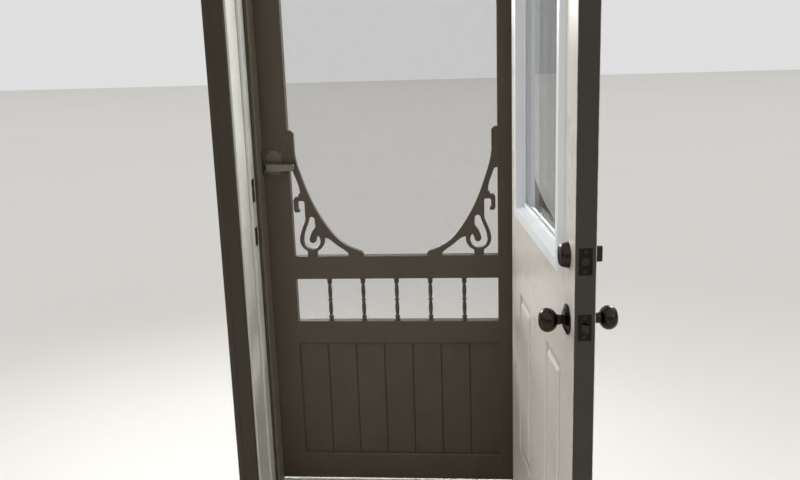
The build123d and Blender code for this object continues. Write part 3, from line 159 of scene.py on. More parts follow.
# Marks of the brush on paint and on metal, in noise cells per metre along X, Y and Z
ALONG, ACROSS = 11.0, 620.0
STROKES = {"X": (ALONG, ACROSS, ACROSS), "Z": (ACROSS, ACROSS, ALONG)}
TURNED_BRUSH, PLATE_BRUSH = (40.0, 40.0, 900.0), (900.0, 900.0, 30.0)
LATCH_BRUSH, EVEN_BRUSH = (60.0, 60.0, 700.0), (300.0, 300.0, 300.0)
TIMBER_GRAIN = (120.0, 120.0, 5.0)

# Ageing and painted shade: how much of a colour is left in painted shade in grooves and
# joints, and under grime, and the most that a mark covers
SUNK_SHADE_LEFT, GRIME_LEFT = 0.4, 0.55
SMUDGE_COVER, WEAR_COVER = 0.22, 0.75
PAINT_GRIME_TOP, STRIP_GRIME_TOP = 1.1, 2.6

# Widths of the change from one paint to another, and of a rib of the threshold
SEAM, RIB = 0.0002, 0.0022

# Slanting direction in which no two parts of a mesh lie equally far
SORT_ALONG = Vector((1.0, 1.618, 2.414))

# Stage: lamps by name, place, target, watts, width, height and spread in degrees
LAMPS = (
    ("sky_lamp", (0, 1, 12), (0, 1, 0), 7400, 60, 60, 180),
    ("leaf_lamp", (-2.2, 3.2, 2.4), (0.5, -0.5, 1.2), 34, 2.2, 1.8, 60),
    ("lining_lamp", (1.7, 2.6, 2.7), (-0.41, -0.1, 1.3), 20, 1.4, 1.2, 60),
    ("right_lamp", (3.4, -2.2, 2.2), (0.5, -0.5, 1.1), 10, 2.0, 2.0, 180),
)
WORLD_LIGHT, WORLD_SEEN = 0.28, 0.74
CAMERA_PLACE = (0.2753, -2.6786, 1.5137)
CAMERA_ANGLES = (13.7, 1.9, 5.4)


# Node trees


def put(tree, value, socket):
    """Join a socket, or set its value."""
    if isinstance(value, bpy.types.NodeSocket):
        tree.links.new(value, socket)
    elif socket.type == "RGBA" and len(value) == 3:
        socket.default_value = (*value, 1)
    else:
        socket.default_value = value


def add(tree, kind, inputs=None, **settings):
    """New shader node of a tree, with its settings and inputs."""
    node = tree.nodes.new("ShaderNode" + kind)
    for name, value in settings.items():
        setattr(node, name, value)
    for name, value in (inputs or {}).items():
        put(tree, value, node.inputs[name])
    return node


def calc(tree, operation, *values, clamp=False):
    """Math node's result."""
    inputs = dict(enumerate(values))
    return add(tree, "Math", inputs, operation=operation, use_clamp=clamp).outputs[0]


def calc_vector(tree, operation, *values):
    """Vector math node's result."""
    inputs = dict(enumerate(values))
    return add(tree, "VectorMath", inputs, operation=operation).outputs[0]


def axes(tree, vector):
    """X, Y and Z of a vector."""
    return add(tree, "SeparateXYZ", {0: vector}).outputs


def ramp(tree, value, low, high, out_low=0.0, out_high=1.0):
    """Smooth step of a value from low to high."""
    limits = {"From Min": low, "From Max": high, "To Min": out_low, "To Max": out_high}
    inputs = {"Value": value, **limits}
    return add(tree, "MapRange", inputs, interpolation_type="SMOOTHSTEP").outputs["Result"]


def noise(tree, vector, scale, detail=3.0, roughness=0.55):
    inputs = {"Vector": vector, "Scale": scale, "Detail": detail, "Roughness": roughness}
    return add(tree, "TexNoise", inputs).outputs["Fac"]


def patches(tree, vector, scale, low, high, detail=4.0, roughness=0.6):
    """Mask of noise, 0 below the low limit and 1 above the high one."""
    return ramp(tree, noise(tree, vector, scale, detail, roughness), low, high)


def mix(tree, factor, a, b):
    """Blend of two colours."""
    node = add(tree, "Mix", data_type="RGBA")
    put(tree, factor, node.inputs[0])
    put(tree, a, node.inputs[6])
    put(tree, b, node.inputs[7])
    return node.outputs[2]


def cover(tree, mask, most, a, b):
    """Colour a, covered by b where the mask is 1 up to a share."""
    return mix(tree, calc(tree, "MULTIPLY", mask, most), a, b)


def effect(name, inputs, outputs):
    """Empty node group that takes a place and more inputs and gives values, and its sockets."""
    tree = bpy.data.node_groups.new(name, "ShaderNodeTree")
    for label, kind in {"Vector": "Vector", **inputs}.items():
        tree.interface.new_socket(label, in_out="INPUT", socket_type="NodeSocket" + kind)
    for label in outputs:
        tree.interface.new_socket(label, in_out="OUTPUT", socket_type="NodeSocketFloat")
    return tree, tree.nodes.new("NodeGroupInput").outputs, tree.nodes.new("NodeGroupOutput").inputs


def build_edge_wear():
    """Mask of rubbed paint along the edges of a straight member between two corners."""
    inputs = {"Low": "Vector", "High": "Vector", "Width": "Float"}
    tree, given, out = effect("Edge wear", inputs, ["Mask"])
    below = calc_vector(tree, "SUBTRACT", given["Vector"], given["Low"])
    above = calc_vector(tree, "SUBTRACT", given["High"], given["Vector"])
    near = axes(tree, calc_vector(tree, "MINIMUM", below, above))
    lesser = calc(tree, "MINIMUM", near[0], near[1])
    greater = calc(tree, "MAXIMUM", near[0], near[1])
    second = calc(tree, "MAXIMUM", lesser, calc(tree, "MINIMUM", greater, near[2]))
    patchy = noise(tree, given["Vector"], 34.0, 4.0, 0.62)
    ragged = noise(tree, given["Vector"], 260.0, 3.0, 0.6)
    reach = calc(tree, "MULTIPLY", given["Width"], ramp(tree, patchy, 0.42, 0.68, 0.05, 1.0))
    reach = calc(tree, "MULTIPLY", reach, calc(tree, "MULTIPLY_ADD", ragged, 1.4, 0.3))
    whole = ramp(tree, calc(tree, "DIVIDE", second, reach), 0.75, 1.15)
    put(tree, calc(tree, "SUBTRACT", 1.0, whole), out["Mask"])


def build_brush_marks():
    """Brushed paint: fine ridges along the stroke, and slow changes of tone."""
    tree, given, out = effect("Brush marks", {"Stroke": "Vector"}, ["Height", "Tone"])
    stroke = calc_vector(tree, "MULTIPLY", given["Vector"], given["Stroke"])
    ridges = noise(tree, stroke, 1.0, 3.0, 0.5)
    lumps = noise(tree, given["Vector"], 9.0, 2.0, 0.5)
    specks = noise(tree, given["Vector"], 900.0, 1.0, 0.5)
    grain = calc(tree, "MULTIPLY_ADD", lumps, 0.5, calc(tree, "MULTIPLY", ridges, 0.5))
    put(tree, calc(tree, "MULTIPLY_ADD", specks, 0.18, grain), out["Height"])
    slow = calc(tree, "MULTIPLY", lumps, 0.65)
    put(tree, calc(tree, "MULTIPLY_ADD", ridges, 0.35, slow), out["Tone"])


def build_grime():
    """Dust that gathers low down and in patches."""
    tree, given, out = effect("Grime", {"Top": "Float"}, ["Mask"])
    height = axes(tree, given["Vector"])[2]
    low = ramp(tree, calc(tree, "DIVIDE", height, given["Top"]), 0.0, 1.0, 1.0, 0.0)
    cloudy = patches(tree, given["Vector"], 13.0, 0.35, 0.75)
    fine = patches(tree, given["Vector"], 120.0, 0.4, 0.8, detail=3.0)
    both = calc(tree, "MULTIPLY_ADD", cloudy, 0.6, calc(tree, "MULTIPLY", fine, 0.4))
    put(tree, calc(tree, "MULTIPLY", low, both, clamp=True), out["Mask"])


def build_hand_marks():
    """Smudges around one place on a surface."""
    tree, given, out = effect("Hand marks", {"Middle": "Vector", "Reach": "Float"}, ["Mask"])
    ends = {0: given["Vector"], 1: given["Middle"]}
    away = add(tree, "VectorMath", ends, operation="DISTANCE").outputs["Value"]
    close = ramp(tree, calc(tree, "DIVIDE", away, given["Reach"]), 0.15, 1.0, 1.0, 0.0)
    smeared = patches(tree, given["Vector"], 22.0, 0.4, 0.72, roughness=0.65)
    put(tree, calc(tree, "MULTIPLY", close, smeared, clamp=True), out["Mask"])


def build_metal_scratches():
    """Fine scratches and handling on satin metal."""
    tree, given, out = effect("Metal scratches", {"Brush": "Vector"}, ["Lines", "Patches"])
    brushed = calc_vector(tree, "MULTIPLY", given["Vector"], given["Brush"])
    put(tree, noise(tree, brushed, 1.0, 2.0, 0.5), out["Lines"])
    put(tree, patches(tree, given["Vector"], 90.0, 0.35, 0.75), out["Patches"])


def build_cloth_threads():
    """Square net of threads: how much of the light it stops, and its height."""
    inputs = {"Pitch": "Float", "Thread": "Float"}
    tree, given, out = effect("Cloth threads", inputs, ["Cover", "Height"])
    half = calc(tree, "MULTIPLY", given["Thread"], 0.5)
    place = axes(tree, given["Vector"])
    threads = []
    for axis in (0, 2):
        away = calc(tree, "PINGPONG", place[axis], calc(tree, "MULTIPLY", given["Pitch"], 0.5))
        threads.append(calc(tree, "LESS_THAN", away, half))
    put(tree, calc(tree, "MAXIMUM", *threads), out["Cover"])
    put(tree, calc(tree, "ADD", *threads), out["Height"])


def use(tree, name, **inputs):
    """Node group placed in a tree."""
    node = tree.nodes.new("ShaderNodeGroup")
    node.node_tree = bpy.data.node_groups[name]
    for label, value in inputs.items():
        put(tree, value, node.inputs[label])
    return node.outputs


# Materials


def new_material(name):
    """Material with its principled shader, and the tree it is in."""
    material = bpy.data.materials.new(name)
    material.use_nodes = True
    tree = material.node_tree
    return material, tree, tree.nodes["Principled BSDF"]


def object_place(tree, swung=False):
    """Object coordinates, turned back to the shut position on pieces of the open door."""
    place = add(tree, "TexCoord").outputs["Object"]
    if not swung:
        return place
    turn = {"Location": UNSWING.translation, "Rotation": (0, 0, -OPEN_ANGLE)}
    return add(tree, "Mapping", {"Vector": place, **turn}).outputs[0]


def bump(tree, height, strength, distance):
    inputs = {"Height": height, "Strength": strength, "Distance": distance}
    return add(tree, "Bump", inputs).outputs["Normal"]


def shade(base, factor):
    """Colour made darker or lighter."""
    return [min(1, c * factor) for c in base]


def painted(
    name, node, base, worn, stroke="Z", roughness=0.42, swung=False, dust=0.35, relief=0.00012,
    streaks=0.06, marks=None, beyond=None, bare=None, sunk_shade=None, gloss=0.5,
):
    """Brushed paint for one member, rubbed along its edges and dusty low down.

    marks gives the middle, reach and tint of hand marks. beyond gives a depth and the colour
    outside it. bare gives the corners of a box in which the timber has no paint and
    is darkened further as painted shade. sunk_shade gives the depths between which painted
    shade darkens recesses, and how dark it is.
    """
    material, tree, shader = new_material(name)
    shader.inputs["Specular IOR Level"].default_value = gloss
    place = object_place(tree, swung)
    low, high = node_span(node, swung)
    wear = use(tree, "Edge wear", Vector=place, Low=low, High=high, Width=sizes().wear)["Mask"]
    brushed = use(tree, "Brush marks", Vector=place, Stroke=STROKES[stroke])
    grime = use(tree, "Grime", Vector=place, Top=PAINT_GRIME_TOP)["Mask"]
    tone = ramp(tree, brushed["Tone"], 0.3, 0.7)
    coat = mix(tree, tone, shade(base, 1 - streaks), shade(base, 1 + streaks))
    if beyond:
        depth, outer = beyond
        outside = ramp(tree, axes(tree, place)[1], depth, depth + SEAM)
        coat = mix(tree, outside, coat, outer)
    # Painted shade between two depths, darkening recesses such as pressed grooves and joints
    if sunk_shade:
        start, end, strength = sunk_shade
        groove = ramp(tree, axes(tree, place)[1], start, end)
        coat = cover(tree, groove, strength, coat, shade(base, SUNK_SHADE_LEFT))
    # Box of unpainted timber in the strike pockets, darkened as painted shade
    if bare:
        above = calc_vector(tree, "SUBTRACT", place, bare[0])
        below = calc_vector(tree, "SUBTRACT", bare[1], place)
        near = axes(tree, calc_vector(tree, "MINIMUM", above, below))
        within = calc(tree, "MINIMUM", calc(tree, "MINIMUM", near[0], near[1]), near[2])
        coat = mix(tree, ramp(tree, within, 0.0, SEAM), coat, BARE_TIMBER_IN_SHADE)
    coat = cover(tree, grime, dust, coat, shade(base, GRIME_LEFT))
    if marks:
        middle, reach, tint = marks
        smudge = use(tree, "Hand marks", Vector=place, Middle=middle, Reach=reach)["Mask"]
        coat = cover(tree, smudge, SMUDGE_COVER, coat, tint)
    put(tree, cover(tree, wear, WEAR_COVER, coat, worn), shader.inputs["Base Color"])
    dull = calc(tree, "MULTIPLY_ADD", calc(tree, "ADD", grime, wear), 0.22, roughness)
    put(tree, calc(tree, "MULTIPLY_ADD", tone, 0.06, dull), shader.inputs["Roughness"])
    height = calc(tree, "MULTIPLY_ADD", wear, -0.6, brushed["Height"])
    put(tree, bump(tree, height, 0.6, relief), shader.inputs["Normal"])
    return material


def satin_metal(name, base, brush=TURNED_BRUSH, roughness=0.3, worn=1.5, swung=False):
    """Plated metal with fine scratches, duller in patches."""
    material, tree, shader = new_material(name)
    place = object_place(tree, swung)
    marks = use(tree, "Metal scratches", Vector=place, Brush=brush)
    tint = cover(tree, marks["Patches"], 0.35, base, shade(base, worn))
    put(tree, tint, shader.inputs["Base Color"])
    shader.inputs["Metallic"].default_value = 1.0
    rough = calc(tree, "MULTIPLY_ADD", marks["Lines"], 0.16, roughness - 0.08)
    rough = calc(tree, "MULTIPLY_ADD", marks["Patches"], 0.07, rough)
    put(tree, rough, shader.inputs["Roughness"])
    put(tree, bump(tree, marks["Lines"], 0.35, 0.00004), shader.inputs["Normal"])
    return material


def soft_strip(name, base, scale, roughness, relief):
    """Foam, vinyl or resin with a fine skin and a little dust."""
    material, tree, shader = new_material(name)
    place = object_place(tree)
    cells = noise(tree, place, scale, 3.0, 0.6)
    grime = use(tree, "Grime", Vector=place, Top=STRIP_GRIME_TOP)["Mask"]
    tint = mix(tree, ramp(tree, cells, 0.3, 0.7), shade(base, 0.75), shade(base, 1.25))
    put(tree, cover(tree, grime, 0.4, tint, STRIP_DUST), shader.inputs["Base Color"])
    put(tree, calc(tree, "MULTIPLY_ADD", cells, 0.15, roughness), shader.inputs["Roughness"])
    put(tree, bump(tree, cells, 0.7, relief), shader.inputs["Normal"])
    return material


def raw_timber(name, light, dark):
    """Bare softwood with grain up the piece."""
    material, tree, shader = new_material(name)
    stretched = calc_vector(tree, "MULTIPLY", object_place(tree), TIMBER_GRAIN)
    bands = noise(tree, stretched, 1.0, 5.0, 0.6)
    put(tree, mix(tree, ramp(tree, bands, 0.35, 0.65), light, dark), shader.inputs["Base Color"])
    put(tree, calc(tree, "MULTIPLY_ADD", bands, 0.2, 0.55), shader.inputs["Roughness"])
    put(tree, bump(tree, bands, 0.4, 0.0002), shader.inputs["Normal"])
    return material


def window_glass():
    """Clear glass with a few smears."""
    material, tree, shader = new_material("window_glass")
    smears = noise(tree, object_place(tree), 16.0, 5.0, 0.65)
    put(tree, GLASS_TINT, shader.inputs["Base Color"])
    shader.inputs["Transmission Weight"].default_value = 1.0
    shader.inputs["IOR"].default_value = 1.5
    put(tree, ramp(tree, smears, 0.5, 0.85, 0.0, 0.06), shader.inputs["Roughness"])
    return material


def net_cloth():
    """Dark insect cloth, open between its threads."""
    material, tree, shader = new_material("net_cloth")
    place = object_place(tree)
    pitch, thread = sizes().cloth_pitch, sizes().cloth_thread
    net = use(tree, "Cloth threads", Vector=place, Pitch=pitch, Thread=thread)
    dust = patches(tree, place, 40.0, 0.4, 0.75)
    tint = cover(tree, dust, 0.5, list(colours().cloth), CLOTH_DUST)
    put(tree, tint, shader.inputs["Base Color"])
    put(tree, calc(tree, "MULTIPLY_ADD", dust, 0.2, 0.55), shader.inputs["Roughness"])
    put(tree, net["Cover"], shader.inputs["Alpha"])
    put(tree, bump(tree, net["Height"], 0.5, 0.0001), shader.inputs["Normal"])
    return material


def ribbed_saddle():
    """Mill finish aluminium threshold with fine ribs along it, scuffed by feet."""
    material, tree, shader = new_material("ribbed_saddle")
    place = object_place(tree)
    ribs = calc(tree, "PINGPONG", axes(tree, place)[1], RIB)
    scuffs = patches(tree, place, 30.0, 0.4, 0.7, 5.0, 0.65)
    base = list(colours().saddle)
    put(tree, cover(tree, scuffs, 0.5, base, shade(base, 0.5)), shader.inputs["Base Color"])
    shader.inputs["Metallic"].default_value = 1.0
    put(tree, calc(tree, "MULTIPLY_ADD", scuffs, 0.25, 0.3), shader.inputs["Roughness"])
    put(tree, bump(tree, ribs, 0.8, 0.6), shader.inputs["Normal"])
    return material


def set_finish(piece, material):
    """Give a CAD node or a new piece its one material."""
    piece.data.materials.clear()
    piece.data.materials.append(material)


# Modelling


def deselect():
    bpy.ops.object.select_all(action="DESELECT")


def mode(name):
    bpy.ops.object.mode_set(mode=name)


def take(piece):
    """Make one piece the only selected and active one."""
    deselect()
    piece.select_set(True)
    bpy.context.view_layer.objects.active = piece


def settle(piece, name):
    """Name a finished piece and put its place in its mesh."""
    take(piece)
    bpy.ops.object.transform_apply(location=True, rotation=True, scale=True)
    piece.name = name
    piece.data.name = name
    return piece


def select_by(piece, kind, test):
    """In edit mode, select only the faces or vertices that pass a test."""
    bpy.ops.mesh.select_mode(type="FACE" if kind == "faces" else "VERT")
    shape = bmesh.from_edit_mesh(piece.data)
    for part in getattr(shape, kind):
        part.select_set(test(part))
    shape.select_flush_mode()
    bmesh.update_edit_mesh(piece.data)


def sort_key(part):
    """Number that puts vertices, edges or faces in one order by their middles."""
    corners = getattr(part, "verts", [part])
    return sum((corner.co for corner in corners), Vector()) @ SORT_ALONG / len(corners)


def extrude(*move):
    """In edit mode, pull the selected faces out by a move, and sort what comes unsorted."""
    bpy.ops.mesh.extrude_region_move(TRANSFORM_OT_translate={"value": move})
    mesh = bpy.context.edit_object.data
    shape = bmesh.from_edit_mesh(mesh)
    for parts in (shape.verts, shape.edges, shape.faces):
        parts.sort(key=sort_key)
        parts.index_update()
    mode("OBJECT")
    for edge in mesh.edges:
        edge.vertices = sorted(edge.vertices)
    mode("EDIT")


def cube_between(low, high):
    """Cube primitive between two corners, to be shaped further."""
    low, high = Vector(low), Vector(high)
    deselect()
    bpy.ops.mesh.primitive_cube_add(size=1, location=(low + high) / 2)
    piece = bpy.context.active_object
    piece.scale = high - low
    return settle(piece, "cube")


def round_edges(piece, width, segments):
    """Round the sharp edges of a piece."""
    take(piece)
    modifier = piece.modifiers.new("Round", "BEVEL")
    modifier.width = width
    modifier.segments = segments
    modifier.limit_method = "ANGLE"
    bpy.ops.object.modifier_apply(modifier=modifier.name)
    bpy.ops.object.shade_smooth_by_angle(angle=math.radians(40))


def cut(piece, tool):
    """Cut one piece out of another and remove the tool."""
    take(piece)
    modifier = piece.modifiers.new("Cut", "BOOLEAN")
    modifier.operation = "DIFFERENCE"
    modifier.solver = "EXACT"
    modifier.object = tool
    bpy.ops.object.modifier_apply(modifier=modifier.name)
    bpy.data.objects.remove(tool)


def join_pieces(pieces, name):
    """Join pieces into one."""
    take(pieces[0])
    for piece in pieces[1:]:
        piece.select_set(True)
    bpy.ops.object.join()
    piece = bpy.context.active_object
    piece.name = name
    piece.data.name = name
    return piece


def swing(piece):
    """Move a piece modelled on the shut inner door to the open door."""
    piece.data.transform(SWING)
    piece.data.update()
    return piece


def repeat(pattern, places, name):
    """Copies of a pattern, which faces along +Z at the origin, at places and facing outwards."""
    copies = []
    for point, out in places:
        copy = pattern.copy()
        copy.data = pattern.data.copy()
        bpy.context.collection.objects.link(copy)
        turn = Vector(out).to_track_quat("Z", "Y").to_matrix().to_4x4()
        copy.data.transform(Matrix.Translation(point) @ turn)
        copies.append(copy)
    bpy.data.objects.remove(pattern)
    return join_pieces(copies, name)


def screw_pattern(radius, dome, depth, shank):
    """Screw with a cross recess. Its head's rim lies in the plane of the origin."""
    neck, point, point_length, crown = 0.5, 0.2, radius * 0.5, radius * 0.25
    arm, half, recess = radius * 0.52, radius * 0.13, -min(depth, radius * 0.6)
    deselect()
    bpy.ops.mesh.primitive_cylinder_add(
        vertices=28, radius=radius, depth=depth, location=(0, 0, -depth / 2)
    )
    head = bpy.context.active_object
    mode("EDIT")
    select_by(head, "faces", lambda face: face.normal.z < -0.9)
    bpy.ops.transform.resize(value=(neck, neck, 1))
    if shank:
        extrude(0, 0, -shank)
        extrude(0, 0, -point_length)
        bpy.ops.transform.resize(value=(point, point, 1))
    select_by(head, "faces", lambda face: face.normal.z > 0.9)
    bpy.ops.mesh.inset(thickness=crown)
    bpy.ops.transform.translate(value=(0, 0, dome))
    mode("OBJECT")
    for x, y in ((arm, half), (half, arm)):
        cut(head, cube_between((-x, -y, recess), (x, y, dome + radius)))
    take(head)
    bpy.ops.object.shade_smooth_by_angle(angle=math.radians(35))
    return settle(head, "screw")


def frame_ring(low, high, width, y0, y1):
    """Flat rectangular ring in the plane of a door."""
    deselect()
    centre = ((low[0] + high[0]) / 2, y0, (low[1] + high[1]) / 2)
    bpy.ops.mesh.primitive_plane_add(size=1, location=centre, rotation=(QUARTER_TURN, 0, 0))
    ring = bpy.context.active_object
    ring.scale = (high[0] - low[0], high[1] - low[1], 1)
    settle(ring, "ring")
    mode("EDIT")
    bpy.ops.mesh.select_all(action="SELECT")
    bpy.ops.mesh.inset(thickness=width)
    bpy.ops.mesh.delete(type="FACE")
    bpy.ops.mesh.select_all(action="SELECT")
    extrude(0, y1 - y0, 0)
    bpy.ops.mesh.select_all(action="SELECT")
    bpy.ops.mesh.normals_make_consistent(inside=False)
    mode("OBJECT")
    return ring


def lamp(name, place, target, power, width, height, spread):
    """Soft area lamp."""
    data = bpy.data.lights.new(name, "AREA")
    data.shape = "RECTANGLE"
    data.size, data.size_y = width, height
    data.energy = power
    data.spread = math.radians(spread)
    piece = bpy.data.objects.new(name, data)
    bpy.context.collection.objects.link(piece)
    look = (Vector(target) - Vector(place)).to_track_quat("-Z", "Y").to_matrix().to_4x4()
    piece.matrix_world = Matrix.Translation(place) @ look


# Operators


class Step(bpy.types.Operator):
    """Common settings of the steps"""

    bl_options = {"REGISTER", "UNDO"}


class DOORWAY_OT_effects(Step):
    """Build the node groups that several finishes use"""

    bl_idname = "doorway.effects"
    bl_label = "Shared effects"

    def execute(self, context):
        build_edge_wear()
        build_brush_marks()
        build_grime()
        build_hand_marks()
        build_metal_scratches()
        build_cloth_threads()
        return {"FINISHED"}


class DOORWAY_OT_frame_finish(Step):
    """Paint the jambs, linings, casing, outside moulding, sill and threshold"""

    bl_idname = "doorway.frame_finish"
    bl_label = "Frame finish"

    def execute(self, context):
        tint = colours()
        white, worn = list(tint.lining), list(tint.lining_worn)
        stop_depth = node_span("weatherstrip")[0].y + 0.001
        scuff_depth, scuff_height, scuff_reach = -0.155, 0.88, 0.09
        # Painted shadow along the joint of lining and jamb, with some dirt: start, end, strength
        joint_start, joint_end, joint_shade_and_dirt = 0.0055, 0.0045, 0.9
        members = {
            "side_linings": "Z", "head_lining": "X", "strike_jamb": "Z", "hinge_jamb": "Z",
            "head_jamb": "X",
        }
        for node, stroke in members.items():
            high, more = node_span(node)[1], {}
            if node.endswith("jamb"):
                more["beyond"] = (stop_depth, list(tint.stops))
            if node == "strike_jamb":
                # Strike pockets: unpainted timber, darkened as painted shade
                more["bare"] = self.pockets()
            if node == "side_linings":
                scuff = Vector((-high.x, scuff_depth, scuff_height))
                more["marks"] = (scuff, scuff_reach, SCUFF_TINT)
                more["sunk_shade"] = (high.y - joint_start, high.y - joint_end, joint_shade_and_dirt)
            # Dust low down is heavier here, partly as painted shade on the lower linings and jambs
            finish = painted(node + "_paint", node, white, worn, stroke, 0.38, dust=0.5, **more)
            set_finish(NODES[node], finish)
        # The casing's colour is its paint set darker, as painted shade
        casing, outside = list(tint.casing), list(tint.moulding)
        for node, stroke in (("strike_casing", "Z"), ("hinge_casing", "Z"), ("head_casing", "X")):
            rubbed = shade(casing, 1.5)
            finish = painted(node + "_paint", node, casing, rubbed, stroke, 0.45, gloss=0.3)
            set_finish(NODES[node], finish)
        for name, node, base, rubbed, stroke, roughness, dust in (
            ("moulding_paint", "brickmould", outside, shade(outside, 1.3), "Z", 0.5, 0.6),
            ("sill_paint", "sill", white, worn, "X", 0.55, 0.7),
        ):
            finish = painted(name, node, base, rubbed, stroke, roughness, dust=dust)
            set_finish(NODES[node], finish)
        set_finish(NODES["threshold"], ribbed_saddle())
        return {"FINISHED"}

    def pockets(self):
        """Corners of a box around the pockets behind both strikes."""
        reach, skin = 0.1, 0.0002
        low, high = node_span("latch_strike")
        top = node_span("deadbolt_strike")[1].z
        return (low.x - reach, low.y, low.z), (low.x - skin, high.y, top)


class DOORWAY_OT_inner_door_finish(Step):
    """Enamel the inner door and stain its edges, both with painted shade, and clear its glass"""

    bl_idname = "doorway.inner_door_finish"
    bl_label = "Inner door finish"

    def execute(self, context):
        tint = colours()
        enamel, lite, worn = list(tint.leaf), list(tint.lite), list(tint.leaf_marks)
        # The edges' stain is set dark, partly as painted shade
        edge = list(tint.leaf_edge_stain_and_shade)
        low, high = node_span("knob_roses", True)
        smudges = ((low + high) / 2, 0.26, worn)
        outer = node_span("exterior_skin", True)[1].y
        inner = node_span("interior_skin", True)[0].y
        # Painted shade in the skins' pressed grooves: depths where it starts and ends, and
        # strength
        start, end = 0.001, 0.005
        for node, base, roughness, grooves in (
            ("exterior_skin", enamel, 0.26, (outer - start, outer - end, 0.55)),
            ("interior_skin", enamel, 0.26, (inner + start, inner + end, 0.4)),
            ("exterior_lite_frame", lite, 0.3, None),
            ("interior_lite_frame", lite, 0.3, None),
        ):
            finish = painted(
                node + "_enamel", node, base, worn, roughness=roughness, swung=True, dust=0.12,
                relief=0.000012, streaks=0.012, marks=smudges, sunk_shade=grooves,
            )
            set_finish(NODES[node], finish)
        rubbed = shade(edge, 1.7)
        for node, stroke in (
            ("hinge_edge_stile", "Z"), ("lock_edge_stile", "Z"), ("edge_rails", "X"),
        ):
            finish = painted(node + "_stain", node, edge, rubbed, stroke, 0.5, True, 0.4)
            set_finish(NODES[node], finish)
        vinyl = list(tint.vinyl)
        set_finish(NODES["lock_block"], raw_timber("core_timber", TIMBER_LIGHT, TIMBER_DARK))
        set_finish(NODES["foam_core"], soft_strip("core_foam", CORE_FOAM, 700.0, 0.8, 0.0006))
        set_finish(NODES["door_sweep"], soft_strip("sweep_vinyl", vinyl, 500.0, 0.45, 0.00008))
        set_finish(NODES["glass_panes"], window_glass())
        set_finish(NODES["glazing_spacer"], satin_metal("spacer_metal", SPACER_METAL))
        return {"FINISHED"}


class DOORWAY_OT_screen_door_finish(Step):
    """Paint the screen door's stiles, rails, boards, spindles and brackets"""

    bl_idname = "doorway.screen_door_finish"
    bl_label = "Screen door finish"

    def execute(self, context):
        # The paint is set darker than it is, as painted shade
        base, worn = list(colours().screen_door), list(colours().screen_worn)
        low, high = node_span("screen_latch_case")
        smudges = ((low + high) / 2, 0.2, shade(base, 0.5))
        members = {
            "screen_latch_stile": "Z", "screen_hinge_stile": "Z", "panel_boards": "Z",
            "spindles": "Z", "left_bracket": "X", "right_bracket": "X", "screen_beads": "Z",
            "screen_top_rail": "X", "screen_mid_rail": "X", "screen_low_rail": "X",
            "screen_bottom_rail": "X",
        }
        for node, stroke in members.items():
            finish = painted(
                node + "_paint", node, base, worn, stroke, 0.46, relief=0.00018, marks=smudges
            )
            set_finish(NODES[node], finish)
        return {"FINISHED"}


class DOORWAY_OT_metal_finish(Step):
    """Plate the knobs, locks, strikes, hinges and the screen door's latch"""

    bl_idname = "doorway.metal_finish"
    bl_label = "Metal finish"

    def execute(self, context):
        tint = colours()
        # These metals are set dark, as a painted dark reflection of a dim room
        nickel, plates, steel = list(tint.nickel), list(tint.plates), list(tint.steel)
        latch, lever = list(tint.latch), list(tint.lever)
        for metal, nodes in (
            (satin_metal("door_nickel", nickel, roughness=0.24, swung=True), (
                "exterior_knob", "interior_knob", "knob_roses", "deadbolt_collar",
                "deadbolt_rose", "key_plug", "thumbturn",
            )),
            (satin_metal("plate_nickel", plates, PLATE_BRUSH, 0.34, 1.7, True), (
                "latch_case", "deadbolt_case", "door_hinge_leaves",
            )),
            (satin_metal("frame_nickel", plates, PLATE_BRUSH, 0.36), (
                "latch_strike", "deadbolt_strike", "frame_hinge_leaves", "hinge_pins",
                "screen_door_leaves",
            )),
            (satin_metal("latch_metal", latch, LATCH_BRUSH, 0.45, 1.2), (
                "screen_latch_case", "screen_latch_nose", "screen_keeper", "outer_pull",
            )),
            (satin_metal("screw_steel", steel, EVEN_BRUSH, 0.32, 1.2), (
                "latch_bolt", "deadbolt_bolt",
            )),
            (satin_metal("lever_metal", lever, LATCH_BRUSH, 0.4, 1.2), ("screen_lever",)),
        ):
            for node in nodes:
                set_finish(NODES[node], metal)
        return {"FINISHED"}


class DOORWAY_OT_weatherstrip(Step):
    """Model the three lengths of rounded foam weatherstrip"""

    bl_idname = "doorway.weatherstrip"
    bl_label = "Weatherstrip"

    def execute(self, context):
        low, high = node_span("weatherstrip")
        jamb, head, face = high.x, high.z, low.y + 0.0027
        width, kerf, half_tongue, root, head_gap = 0.0097, 0.0055, 0.0007, 0.0004, 0.0099
        boxes = []
        for side in (-1, 1):
            inner, outer = sorted((side * (jamb - width), side * jamb))
            left, right = side * (jamb - kerf) - half_tongue, side * (jamb - kerf) + half_tongue
            boxes.append(((inner, low.y, low.z), (outer, face, head)))
            boxes.append(((left, face - root, low.z), (right, high.y, head)))
        across = jamb - head_gap
        bottom, top = head - kerf - half_tongue, head - kerf + half_tongue
        boxes.append(((-across, low.y, head - width), (across, face, head)))
        boxes.append(((-across, face - root, bottom), (across, high.y, top)))
        pieces = [cube_between(*corners) for corners in boxes]
        for pad in pieces[0::2]:
            round_edges(pad, 0.0011, 4)
        for tongue in pieces[1::2]:
            round_edges(tongue, 0.0004, 2)
        strip = join_pieces(pieces, "weatherstrip_foam")
        set_finish(strip, soft_strip("strip_foam", list(colours().foam), 900.0, 0.62, 0.0002))
        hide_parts("weatherstrip")
        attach(strip, "frame")
        return {"FINISHED"}


